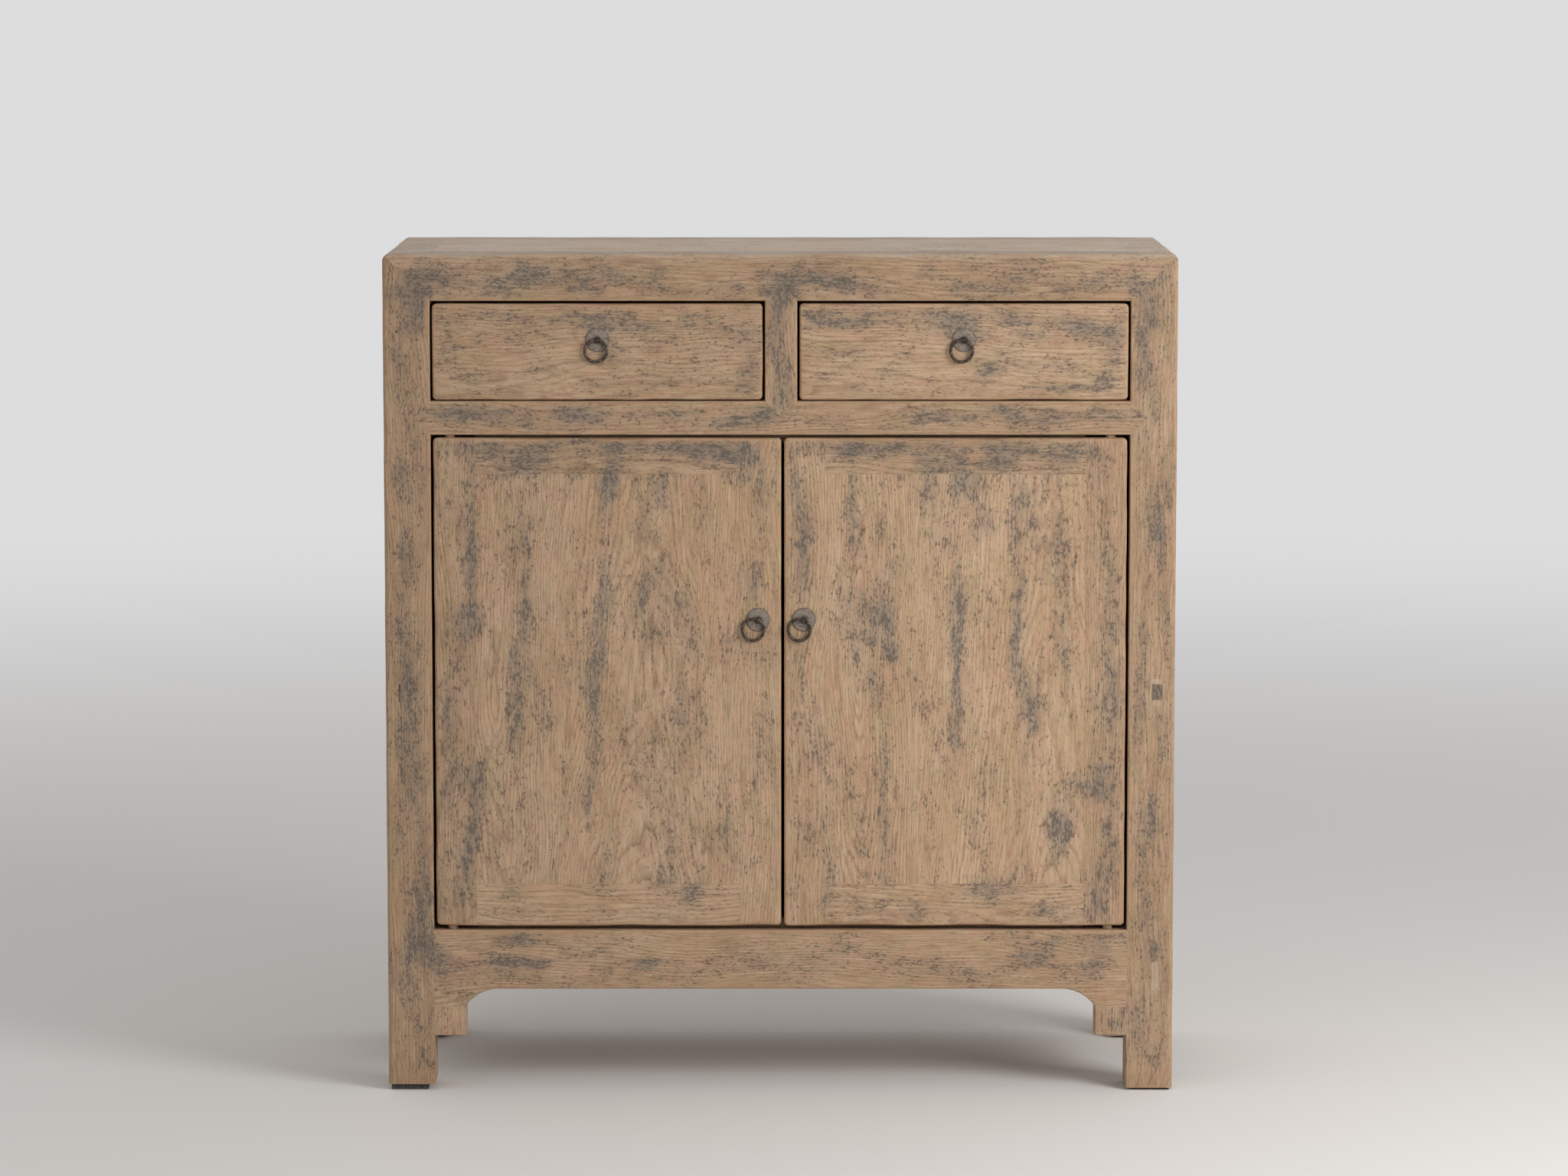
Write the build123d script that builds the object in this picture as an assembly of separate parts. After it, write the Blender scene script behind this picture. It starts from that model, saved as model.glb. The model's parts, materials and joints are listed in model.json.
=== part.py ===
from build123d import *
import math
import os

# A free-standing elm cabinet: two drawers over a two-door cupboard.
# Millimetres. +Z is up, -Y is the front, and the feet stand on z = 0.
# y = 0 is the middle of the whole depth, with the ring pulls counted in.

os.makedirs("parts", exist_ok=True)

# ---- driving dimensions -------------------------------------------------

WIDTH = 960
DEPTH = 380
HEIGHT = 1025
POST = 57                 # square section of the posts and of the mitred top frame
MID_RAIL = 41             # height of the rail between drawers and doors
BOTTOM_RAIL = 73          # height of the bottom rails
RAIL_DEPTH = 40           # thickness of the bottom rails, front to back
DRAWER_OPENING = 121
DOOR_OPENING = 607
DIVIDER = 39
DIVIDER_DEPTH = 45
DIVIDER_X = 1             # the divider stands a little right of the middle
MEETING_X = 3             # and so does the line where the doors meet

# carcass joints
TENON = 12
TENON_LENGTH = 25
SHOULDER = 14             # thickness of the pointed front shoulders
STUB = 8
TONGUE = 6
TONGUE_LENGTH = 8
PANEL_GAP = 0.5
SIDE_PANEL = 14
BACK_PANEL = 12
TOP_BOARD = 16
FLOOR_BOARD = 12
BATTEN = 36
KEY_DEPTH = 4
KEY_FLARE = 2

# edges
CORNER_ROUND = 9          # top edges over the sides
EDGE_ROUND = 4.5          # outer edges of the front and the back
EASE = 2                  # edges around the openings
FACE_CORNER = 5           # corners of doors and drawer fronts, seen from the front
FACE_ROUND = 3            # their front edges
BACK_ROUND = 1

# apron bracket heads and feet
HEAD_WIDTH = 38
HEAD_BOTTOM = 68
HEAD_SEAM = 104           # glue line between the apron's drop and the head under it
BRACKET_CURVE = ((11, 52), (112, 18), (6, 20))   # (radius, turn in degrees), head to apron
PAD = 45
PAD_INSET = 3.5
PAD_HEIGHT = {-1: 7.5, 1: 3}      # the left legs are cut short and packed up

# drawers
FACE_INSET = 0.5          # doors and drawer fronts lie this far behind the posts
DRAWER_GAP = 2.5
DRAWER_TOP_GAP = 3
DRAWER_BOTTOM_GAP = 1
DRAWER_FRONT = 20
DRAWER_WALL = 12
DRAWER_BACK = 10
DRAWER_BOTTOM = 8
DRAWER_RUN = 0.3          # air between the drawer sides and the runners
RUNNER = 30
RUNNER_WIDTH = 33
GUIDE_WIDTH = 22
GUIDE_HEIGHT = 15

# doors
DOOR_THICK = 22
DOOR_SIDE_GAP = 3
DOOR_TOP_GAP = 3.5
DOOR_BOTTOM_GAP = 5
MEETING_GAP = 3.2
STILE = 50
DOOR_TOP_RAIL = 44
DOOR_BOTTOM_RAIL = 52
DOOR_TENON = 8
DOOR_TENON_LENGTH = 30
DOOR_PANEL = 12
DOOR_TONGUE = 5
DOOR_TONGUE_LENGTH = 7
DOOR_PANEL_GAP = 0.4
DOOR_BATTEN = 40
PIVOT_R = 6
PIVOT_CLEARANCE = 0.05
PIVOT_EDGE = 20           # pivot line to the door's outer edge
PIVOT_LOW = 11.5          # reach into the apron
PIVOT_HIGH = 14           # rise above the door
SOCKET_SPARE = 0.5
STOP_AIR = 0.8
STOP = (14, 12)           # depth and height of the door stops
STOP_HALF = 370

# ring pulls
PLATE_R = 15
PLATE = 1.5
RING_R = 13.4             # to the middle of the wire
WIRE_R = 2.1
RING_AIR = 0.3
EYE_R = 2.5
EYE_WALL = 2
EYE_WIDE = 2.6
SHANK = 3
LEG = 1.3                 # thickness of the clenched legs
LEG_LENGTH = 13
DRAWER_EYE_RISE = 14.5    # eye above the middle of the drawer front
DOOR_EYE_X = {-1: -27, 1: 28.5}
DOOR_EYE_Z = 581
DRAWER_LEAN = {-1: 8, 1: 13}      # degrees the rings hang out of plumb
DOOR_LEAN = {-1: 27, 1: 25}

# ---- worked-out places --------------------------------------------------

PULL_REACH = PLATE + RING_AIR + WIRE_R + EYE_R + EYE_WALL - FACE_INSET
FRONT = (PULL_REACH - DEPTH) / 2
BACK = FRONT + DEPTH
SIDE = WIDTH / 2
INNER = SIDE - POST                    # inner faces of the posts
TOP_RAIL_Z = HEIGHT - POST
MID_TOP = TOP_RAIL_Z - DRAWER_OPENING
MID_BOTTOM = MID_TOP - MID_RAIL
RAIL_TOP = MID_BOTTOM - DOOR_OPENING   # top of the bottom rails
RAIL_BOTTOM = RAIL_TOP - BOTTOM_RAIL
FACE = FRONT + FACE_INSET
FRAME_Y = (FRONT + POST, BACK - POST)  # between the front and back posts
MIDDLE_Y = (FRONT + BACK) / 2
RING_Y = -(PLATE + RING_AIR + WIRE_R)  # ring's plane, from the face it hangs on


def block(x, y, z):
    """A box from three (one end, other end) pairs."""
    size = [abs(b - a) for a, b in (x, y, z)]
    return Pos((x[0] + x[1]) / 2, (y[0] + y[1]) / 2, (z[0] + z[1]) / 2) * Box(*size)


def grown(span, by):
    """The pair with both ends moved outward."""
    low, high = min(span), max(span)
    return (low - by, high + by)


def plate_xz(outline, y):
    """A closed outline drawn in x and z, carried from y[0] to y[1]."""
    face = make_face(Plane.XZ.offset(-y[0]) * outline)
    return extrude(face, amount=y[1] - y[0], dir=(0, 1, 0))


def fit(host, *guests):
    """Cut each guest that reaches into the host out of it."""
    for guest in guests:
        if host.bounding_box().overlaps(guest.bounding_box()):
            host = host - guest
    return host


def edges_at(shape, axis, place):
    return shape.edges().filter_by_position(axis, place - 0.01, place + 0.01)


# ---- the carcass's outer form -------------------------------------------

def bracket_curve():
    """The left bracket's edge, from the head's inner edge to the apron's edge."""
    heading, rise = 90, 0
    for radius, turn in BRACKET_CURVE:
        rise += radius * (math.cos(math.radians(heading - turn)) - math.cos(math.radians(heading)))
        heading -= turn
    point = Vector(HEAD_WIDTH - INNER, RAIL_BOTTOM - rise)
    curve = Line((HEAD_WIDTH - INNER, HEAD_BOTTOM), point)
    heading = 90
    for radius, turn in BRACKET_CURVE:
        tangent = (math.cos(math.radians(heading)), math.sin(math.radians(heading)))
        arc = JernArc(point, tangent, radius, -turn)
        curve += arc
        point = arc @ 1
        heading -= turn
    return curve, point


def arch():
    """Everything open below the apron, seen from the front."""
    curve, end = bracket_curve()
    floor = -1
    head = INNER - HEAD_WIDTH
    outline = curve + curve.mirror(Plane.YZ)
    outline += Line(end, (-end.X, end.Y))
    outline += Polyline((-head, HEAD_BOTTOM), (-INNER, HEAD_BOTTOM), (-INNER, floor),
                        (INNER, floor), (INNER, HEAD_BOTTOM), (head, HEAD_BOTTOM))
    return plate_xz(outline, (FRONT - 1, FRONT + POST))


def drawer_opening(side):
    edge = DIVIDER_X + side * DIVIDER / 2
    return (side * INNER, edge)


def carcass_form():
    """The whole block with its outer edges rounded and its front openings eased."""
    form = block((-SIDE, SIDE), (FRONT, BACK), (0, HEIGHT))
    form = fillet(edges_at(form, Axis.Z, HEIGHT).filter_by(Axis.Y), CORNER_ROUND)
    for face_y in (FRONT, BACK):
        outline = [e for e in edges_at(form, Axis.Y, face_y) if e.center().Z > 1]
        form = fillet(outline, EDGE_ROUND)
    reach = (FRONT - 1, FRONT + POST)
    openings = [block(drawer_opening(side), reach, (MID_TOP, TOP_RAIL_Z)) for side in (-1, 1)]
    openings.append(block((-INNER, INNER), reach, (RAIL_TOP, MID_BOTTOM)))
    openings.append(arch())
    before = edges_at(form, Axis.Y, FRONT)
    for opening in openings:
        form = form - opening
    around = [e for e in edges_at(form, Axis.Y, FRONT) if all(
        (e.center() - b.center()).length > 0.1 for b in before)]
    around = [e for e in around if abs(e.center().X) <= INNER + 0.1 and e.center().Z > 0.1]
    return fillet(around, EASE)


def mitred(member, sides, axis):
    """Cut the top ends of a member to the three-way mitre of the given corners."""
    for sx, sy in sides:
        corner = (sx * SIDE, FRONT if sy < 0 else BACK, HEIGHT)
        inward = (-sx, -sy, -1)
        for other in range(3):
            if other != axis:
                normal = [0, 0, 0]
                normal[axis] = inward[axis]
                normal[other] = -inward[other]
                member = split(member, bisect_by=Plane(corner, z_dir=normal), keep=Keep.TOP)
    return member


# ---- carcass members ----------------------------------------------------

def depth_span(sy, near, far):
    """A y pair measured inward from the front (-1) or back (1) plane."""
    return (FRONT + near, FRONT + far) if sy < 0 else (BACK - near, BACK - far)


def post(sx, sy):
    body = block((sx * INNER, sx * SIDE), depth_span(sy, 0, POST), (PAD_HEIGHT[sx], HEIGHT))
    body = mitred(body, [(sx, sy)], 2)
    near, far = 32, 48
    tenon = block((sx * (SIDE - near), sx * (SIDE - far)), depth_span(sy, near, far),
                  (HEIGHT - far, HEIGHT - 14))
    return body + tenon


def top_rail_across(sy):
    body = block((-SIDE, SIDE), depth_span(sy, 0, POST), (TOP_RAIL_Z, HEIGHT))
    return mitred(body, [(-1, sy), (1, sy)], 0)


def top_rail_along(sx):
    body = block((sx * INNER, sx * SIDE), (FRONT, BACK), (TOP_RAIL_Z, HEIGHT))
    return mitred(body, [(sx, -1), (sx, 1)], 1)


def rail_across(sy, depth, z, tenon_near, tenon_inset):
    """A rail between two posts, with a tenon in each."""
    body = block((-INNER, INNER), depth_span(sy, 0, depth), z)
    tenons = block(grown((-INNER, INNER), TENON_LENGTH),
                   depth_span(sy, tenon_near, tenon_near + TENON), grown(z, -tenon_inset))
    return body + tenons


def pointed_end(a, b, tip):
    """The pointed front shoulder of a member that meets another at right angles."""
    return plate_xz(Polyline(a, tip, b, close=True), (FRONT, FRONT + SHOULDER))


def mid_rail_front():
    z = (MID_BOTTOM, MID_TOP)
    rail = rail_across(-1, POST, z, SHOULDER + 4, 8)
    for sx in (-1, 1):
        rail += pointed_end((sx * INNER, z[0]), (sx * INNER, z[1]),
                            (sx * (INNER + MID_RAIL / 2), sum(z) / 2))
    return rail


def apron():
    """The front bottom rail, one board that drops at both ends to carry the heads."""
    rail = rail_across(-1, RAIL_DEPTH, (HEAD_SEAM, RAIL_TOP), 14, 0)
    spare = block((INNER, INNER + TENON_LENGTH), (FRONT, FRONT + POST), (0, RAIL_BOTTOM + 14))
    high = block((INNER, INNER + TENON_LENGTH), (FRONT, FRONT + POST), (RAIL_TOP - 14, RAIL_TOP))
    for cut in (spare, high):
        rail = rail - cut - cut.mirror(Plane.YZ)
    return rail


def bottom_rail_along(sx):
    z = (RAIL_BOTTOM, RAIL_TOP)
    body = block((sx * (SIDE - RAIL_DEPTH), sx * SIDE), FRAME_Y, z)
    tenons = block((sx * (SIDE - 18 - TENON), sx * (SIDE - 18)), grown(FRAME_Y, TENON_LENGTH),
                   grown(z, -14))
    return body + tenons


def divider():
    x = (DIVIDER_X - DIVIDER / 2, DIVIDER_X + DIVIDER / 2)
    body = block(x, (FRONT, FRONT + DIVIDER_DEPTH), (MID_TOP, TOP_RAIL_Z))
    body += block(grown(x, -10), (FRONT + 20, FRONT + 30), grown((MID_TOP, TOP_RAIL_Z), TENON_LENGTH))
    for z, rise in ((MID_TOP, -1), (TOP_RAIL_Z, 1)):
        body += pointed_end((x[0], z), (x[1], z), (DIVIDER_X, z + rise * DIVIDER / 2))
    return body


def framed_panel(field, tongue):
    """A flush panel: the field fills the frame, and the tongue lies in its grooves."""
    return block(*field) + block(*tongue)


def side_panel(sx):
    z = (RAIL_TOP, TOP_RAIL_Z)
    field = ((sx * SIDE, sx * (SIDE - SIDE_PANEL)), grown(FRAME_Y, -PANEL_GAP), grown(z, -PANEL_GAP))
    tongue = ((sx * (SIDE - 5), sx * (SIDE - 5 - TONGUE)), grown(FRAME_Y, TONGUE_LENGTH),
              grown(z, TONGUE_LENGTH))
    return framed_panel(field, tongue)


def back_panel(z):
    x = (-INNER, INNER)
    field = (grown(x, -PANEL_GAP), (BACK - BACK_PANEL, BACK), grown(z, -PANEL_GAP))
    tongue = (grown(x, TONGUE_LENGTH), (BACK - 4 - TONGUE, BACK - 4), grown(z, TONGUE_LENGTH))
    return framed_panel(field, tongue)


def top_panel():
    x = (-INNER, INNER)
    field = (grown(x, -PANEL_GAP), grown(FRAME_Y, -PANEL_GAP), (HEIGHT - TOP_BOARD, HEIGHT))
    tongue = (grown(x, TONGUE_LENGTH), grown(FRAME_Y, TONGUE_LENGTH),
              (HEIGHT - 8 - TONGUE, HEIGHT - 8))
    return framed_panel(field, tongue)


def top_batten(x):
    """A batten under the top, keyed into the boards and tenoned into both rails."""
    under = HEIGHT - TOP_BOARD
    width = (x - BATTEN / 2, x + BATTEN / 2)
    body = block(width, FRAME_Y, (under - 22, under))
    body += block(grown(width, -8), grown(FRAME_Y, STUB), (under - 18, under - 6))
    half = BATTEN / 2 - 6
    key = Polyline((x - half, under), (x - half - KEY_FLARE, under + KEY_DEPTH),
                   (x + half + KEY_FLARE, under + KEY_DEPTH), (x + half, under), close=True)
    return body + plate_xz(key, FRAME_Y)


def side_batten(sx, z):
    """A batten inside a side panel, keyed into it and tenoned into both posts."""
    inside = SIDE - SIDE_PANEL
    height = (z - BATTEN / 2, z + BATTEN / 2)
    body = block((sx * (inside - 14), sx * inside), FRAME_Y, height)
    body += block((sx * (inside - 12), sx * (inside - 3)), grown(FRAME_Y, STUB), grown(height, -6))
    body += block((sx * inside, sx * (inside + KEY_DEPTH / 2)), FRAME_Y, grown(height, -6))
    return body


def floor_boards():
    panel = block(grown((-SIDE + RAIL_DEPTH, SIDE - RAIL_DEPTH), 12),
                  (FRONT + RAIL_DEPTH - 12, BACK - RAIL_DEPTH + 12),
                  (RAIL_TOP - FLOOR_BOARD, RAIL_TOP))
    for sx in (-1, 1):
        for sy in (-1, 1):
            panel -= block((sx * INNER, sx * SIDE), depth_span(sy, 0, POST), (0, HEIGHT))
    return panel


def in_two(panel, y):
    """Saw a glued-up panel into its two boards."""
    return [split(panel, bisect_by=Plane((0, y, 0), z_dir=(0, 1, 0)), keep=keep)
            for keep in (Keep.TOP, Keep.BOTTOM)]


def runner(inner, outer, guide):
    """A drawer runner: a bearer with a guide standing on it, tenoned into both mid rails."""
    body = block((inner, outer), FRAME_Y, (MID_TOP - RUNNER, MID_TOP))
    body += block(guide, FRAME_Y, (MID_TOP - RUNNER, MID_TOP + GUIDE_HEIGHT))
    tenon = (min(inner, outer), max(inner, outer))
    tenon = (max(tenon[0], -INNER), min(tenon[1], INNER))
    body += block(grown(tenon, -8), grown(FRAME_Y, STUB), (MID_TOP - 24, MID_TOP - 6))
    return body


def runners():
    centre = (DIVIDER_X - DIVIDER / 2, DIVIDER_X + DIVIDER / 2)
    pieces = [runner(centre[0] - RUNNER_WIDTH, centre[1] + RUNNER_WIDTH, centre)]
    for sx in (-1, 1):
        guide = (sx * INNER, sx * (INNER + GUIDE_WIDTH))
        pieces.append(runner(sx * (INNER - RUNNER_WIDTH), sx * INNER, guide))
    return pieces


def pivot_line(sx):
    """Where a door's pivots stand."""
    edge = INNER - DOOR_SIDE_GAP
    return (sx * (edge - PIVOT_EDGE), FACE + DOOR_THICK / 2)


def upright_rod(place, radius, z):
    middle = Pos(place[0], place[1], (z[0] + z[1]) / 2)
    return middle * Cylinder(radius, abs(z[1] - z[0]))


def pivot_sockets(z):
    return [upright_rod(pivot_line(sx), PIVOT_R + PIVOT_CLEARANCE, z) for sx in (-1, 1)]


def carcass():
    form = carcass_form()
    names = {-1: "left", 1: "right"}
    rows = {-1: "front", 1: "rear"}
    mid_front = mid_rail_front() & form
    mid_rear = rail_across(1, POST, (MID_BOTTOM, MID_TOP), SHOULDER + 4, 8)
    low_front = apron() & form
    low_rear = rail_across(1, RAIL_DEPTH, (RAIL_BOTTOM, RAIL_TOP), 14, 14)
    low_sides = {sx: bottom_rail_along(sx) for sx in (-1, 1)}
    sides = {sx: side_panel(sx) for sx in (-1, 1)}
    side_battens = [side_batten(sx, z) for sx in (-1, 1) for z in (360, 640)]
    backs = [back_panel((MID_TOP, TOP_RAIL_Z)), back_panel((RAIL_TOP, MID_BOTTOM))]
    top = top_panel()
    top_battens = [top_batten(x) for x in (-150, 150)]
    upright = divider() & form
    floor = floor_boards()
    bearers = runners()

    nodes = {}
    posts = {}
    for sx in (-1, 1):
        for sy in (-1, 1):
            body = post(sx, sy) & form
            body = fit(body, mid_front, mid_rear, low_front, low_rear, low_sides[sx], sides[sx],
                       *side_battens, *backs)
            posts[sx, sy] = body
            nodes[f"post_{rows[sy]}_{names[sx]}"] = body
    for sy in (-1, 1):
        rail = fit(top_rail_across(sy) & form, posts[-1, sy], posts[1, sy], top, *top_battens,
                   *backs, upright)
        nodes[f"top_rail_{rows[sy]}"] = rail
    for sx in (-1, 1):
        rail = fit(top_rail_along(sx) & form, posts[sx, -1], posts[sx, 1], top, sides[sx])
        nodes[f"top_rail_{names[sx]}"] = rail
    nodes["top_boards"] = in_two(fit(top, *top_battens), MIDDLE_Y)
    nodes["top_battens"] = top_battens
    nodes["drawer_divider"] = upright
    high = (MID_BOTTOM, MID_BOTTOM + PIVOT_HIGH - DOOR_TOP_GAP + SOCKET_SPARE)
    low = (RAIL_TOP - PIVOT_LOW - SOCKET_SPARE, RAIL_TOP)
    nodes["mid_rail_front"] = fit(mid_front, upright, *bearers, *pivot_sockets(high))
    nodes["mid_rail_rear"] = fit(mid_rear, *bearers, *backs)
    nodes["bottom_rail_front"] = fit(low_front, floor, *pivot_sockets(low))
    nodes["bottom_rail_rear"] = fit(low_rear, floor, *backs)
    for sx in (-1, 1):
        nodes[f"bottom_rail_{names[sx]}"] = fit(low_sides[sx], floor, sides[sx])
        nodes[f"side_panel_{names[sx]}"] = fit(sides[sx], *side_battens)
    nodes["side_battens"] = side_battens
    nodes["back_panels"] = backs
    nodes["floor_boards"] = in_two(floor, MIDDLE_Y)
    nodes["drawer_runners"] = bearers
    head = block((INNER - HEAD_WIDTH, INNER), (FRONT, FRONT + RAIL_DEPTH), (HEAD_BOTTOM, HEAD_SEAM))
    nodes["apron_heads"] = [head.mirror(Plane.YZ) & form, head & form]
    stop_y = (FACE + DOOR_THICK + STOP_AIR, FACE + DOOR_THICK + STOP_AIR + STOP[0])
    nodes["door_stops"] = [block((-STOP_HALF, STOP_HALF), stop_y, z) for z in
                           ((MID_BOTTOM - STOP[1], MID_BOTTOM), (RAIL_TOP, RAIL_TOP + STOP[1]))]
    nodes["foot_pads"] = [foot_pad(sx, sy) for sx in (-1, 1) for sy in (-1, 1)]
    return nodes


def foot_pad(sx, sy):
    near = SIDE - PAD_INSET
    inset = (POST - PAD) / 2
    return block((sx * near, sx * (near - PAD)), depth_span(sy, inset, inset + PAD), (0, PAD_HEIGHT[sx]))


# ---- ring pulls ---------------------------------------------------------

def pull(name, place, lean, wood):
    """A backplate, a split pin clenched through the wood and the ring in its eye."""
    across = Rot(0, 90, 0)
    outer = EYE_R + EYE_WALL
    eye = across * (Cylinder(outer, EYE_WIDE) - Cylinder(EYE_R, EYE_WIDE))
    pin = Pos(0, RING_Y, 0) * eye
    tail = RING_Y + EYE_R + EYE_WALL / 2
    pin += block((-EYE_WIDE / 2, EYE_WIDE / 2), (tail, wood + LEG), (-SHANK / 2, SHANK / 2))
    pin += block((-EYE_WIDE / 2, EYE_WIDE / 2), (wood, wood + LEG), (-LEG_LENGTH, LEG_LENGTH))
    ring = Pos(0, RING_Y, -RING_R) * Rot(90, 0, 0) * Torus(RING_R, WIRE_R)
    disc = Pos(0, -PLATE / 2, 0) * Rot(90, 0, 0) * Cylinder(PLATE_R, PLATE)
    disc = chamfer(edges_at(disc, Axis.Y, -PLATE), 0.6)
    turned = Pos(place[0], FACE, place[1]) * Rot(0, lean, 0)
    pin, ring, disc = turned * pin, turned * ring, turned * disc
    return {f"{name}_plate": disc - pin, f"{name}_pin": pin, f"{name}_ring": ring}


# ---- doors and drawers --------------------------------------------------

def rounded_face(x, y, z):
    """The outer form of a door or drawer front."""
    form = fillet(block(x, y, z).edges().filter_by(Axis.Y), FACE_CORNER)
    form = fillet(edges_at(form, Axis.Y, min(y)), FACE_ROUND)
    return fillet(edges_at(form, Axis.Y, max(y)), BACK_ROUND)


def drawer(side):
    name = {-1: "drawer_left", 1: "drawer_right"}[side]
    x = grown(drawer_opening(side), -DRAWER_GAP)
    z = (MID_TOP + DRAWER_BOTTOM_GAP, TOP_RAIL_Z - DRAWER_TOP_GAP)
    inside_face = FACE + DRAWER_FRONT
    rear = BACK - BACK_PANEL - 2
    front = rounded_face(x, (FACE, inside_face), z)
    low = MID_TOP + DRAWER_RUN
    inner = grown(x, -DRAWER_WALL - FACE_INSET)
    bottom = block(grown(inner, 5), (inside_face - 5, rear), (low + 8, low + 8 + DRAWER_BOTTOM))
    back = block(grown(inner, 4), (rear - 4 - DRAWER_BACK, rear - 4), (low + 8 + DRAWER_BOTTOM, z[1] - 10))
    walls = []
    for sx, edge in ((-1, inner[0]), (1, inner[1])):
        span = (edge, edge + sx * DRAWER_WALL)
        walls.append(block(span, (inside_face, rear), (low, z[1] - 5)) + dovetails(span, inside_face, z))
    eye = (sum(x) / 2, sum(z) / 2 + DRAWER_EYE_RISE)
    fittings = pull(name + "_pull", eye, DRAWER_LEAN[side], DRAWER_FRONT)
    nodes = {
        f"{name}_front": fit(front, *walls, bottom, fittings[f"{name}_pull_pin"]),
        f"{name}_side_left": fit(walls[0], bottom, back),
        f"{name}_side_right": fit(walls[1], bottom, back),
        f"{name}_back": back,
        f"{name}_bottom": bottom,
    }
    nodes.update(fittings)
    return nodes


def dovetails(x, y, z):
    """Three tails on a drawer side, lapped into the back of the front."""
    tails = None
    reach = 14
    for part in (0.2, 0.5, 0.8):
        middle = z[0] + part * (z[1] - z[0])
        outline = Polyline((y, middle - 9), (y - reach, middle - 12), (y - reach, middle + 12),
                           (y, middle + 9), close=True)
        face = make_face(Plane.YZ.offset(min(x)) * outline)
        tail = extrude(face, amount=DRAWER_WALL, dir=(1, 0, 0))
        tails = tail if tails is None else tails + tail
    return tails


def door_batten(x, z):
    """A batten behind a door panel, keyed into it and tenoned into both stiles."""
    y = (FACE + DOOR_PANEL, FACE + DOOR_THICK)
    height = (z - DOOR_BATTEN / 2, z + DOOR_BATTEN / 2)
    body = block(x, y, height)
    body += block(grown(x, DOOR_TONGUE_LENGTH), grown(y, -1.5), grown(height, -6))
    return body + block(x, (y[0] - 3, y[0]), grown(height, -8))


def door(side):
    name = {-1: "door_left", 1: "door_right"}[side]
    outer = side * (INNER - DOOR_SIDE_GAP)
    meeting = MEETING_X + side * MEETING_GAP / 2
    y = (FACE, FACE + DOOR_THICK)
    z = (RAIL_TOP + DOOR_BOTTOM_GAP, MID_BOTTOM - DOOR_TOP_GAP)
    form = rounded_face((outer, meeting), y, z)
    inner_x = (outer - side * STILE, meeting + side * STILE)
    inner_z = (z[0] + DOOR_BOTTOM_RAIL, z[1] - DOOR_TOP_RAIL)

    tenon_y = (FACE + 7.5, FACE + 7.5 + DOOR_TENON)
    rails = []
    for span in ((z[0], inner_z[0]), (inner_z[1], z[1])):
        rail = block(inner_x, y, span) & form
        rails.append(rail + block(grown(inner_x, DOOR_TENON_LENGTH), tenon_y,
                                  grown(span, -DOOR_TONGUE_LENGTH)))
    panel = framed_panel(
        (grown(inner_x, -DOOR_PANEL_GAP), (FACE, FACE + DOOR_PANEL), grown(inner_z, -DOOR_PANEL_GAP)),
        (grown(inner_x, DOOR_TONGUE_LENGTH), (FACE + 4.5, FACE + 4.5 + DOOR_TONGUE),
         grown(inner_z, DOOR_TONGUE_LENGTH)))
    height = inner_z[1] - inner_z[0]
    battens = [door_batten(inner_x, inner_z[0] + part * height) for part in (0.25, 0.75)]

    hinge = block((outer, inner_x[0]), y, z) & form
    for end in ((z[0] - DOOR_BOTTOM_GAP - PIVOT_LOW, z[0] + 10), (z[1] - 10, z[1] + PIVOT_HIGH)):
        hinge += upright_rod(pivot_line(side), PIVOT_R, end)
    lock = block((meeting, inner_x[1]), y, z) & form
    fittings = pull(name + "_pull", (DOOR_EYE_X[side], DOOR_EYE_Z), DOOR_LEAN[side], DOOR_THICK)
    nodes = {
        f"{name}_hinge_stile": fit(hinge, *rails, panel, *battens),
        f"{name}_lock_stile": fit(lock, *rails, panel, *battens, fittings[f"{name}_pull_pin"]),
        f"{name}_bottom_rail": fit(rails[0], panel),
        f"{name}_top_rail": fit(rails[1], panel),
        f"{name}_panel": fit(panel, *battens),
        f"{name}_battens": battens,
    }
    nodes.update(fittings)
    return nodes


# ---- all pieces ---------------------------------------------------------

pieces = carcass()
for hand in (-1, 1):
    pieces.update(drawer(hand))
    pieces.update(door(hand))

for node, shape in pieces.items():
    if isinstance(shape, list):
        shape = Compound([solid for item in shape for solid in item.solids()])
    export_step(shape, f"parts/{node}.step")
print(len(pieces), "nodes")
print("front", FRONT, "back", BACK, "pull reach", PULL_REACH)
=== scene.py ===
import json
import math
from typing import NamedTuple

import bmesh
import bpy
from bpy.props import FloatProperty, FloatVectorProperty, PointerProperty
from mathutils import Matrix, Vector, noise

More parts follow.
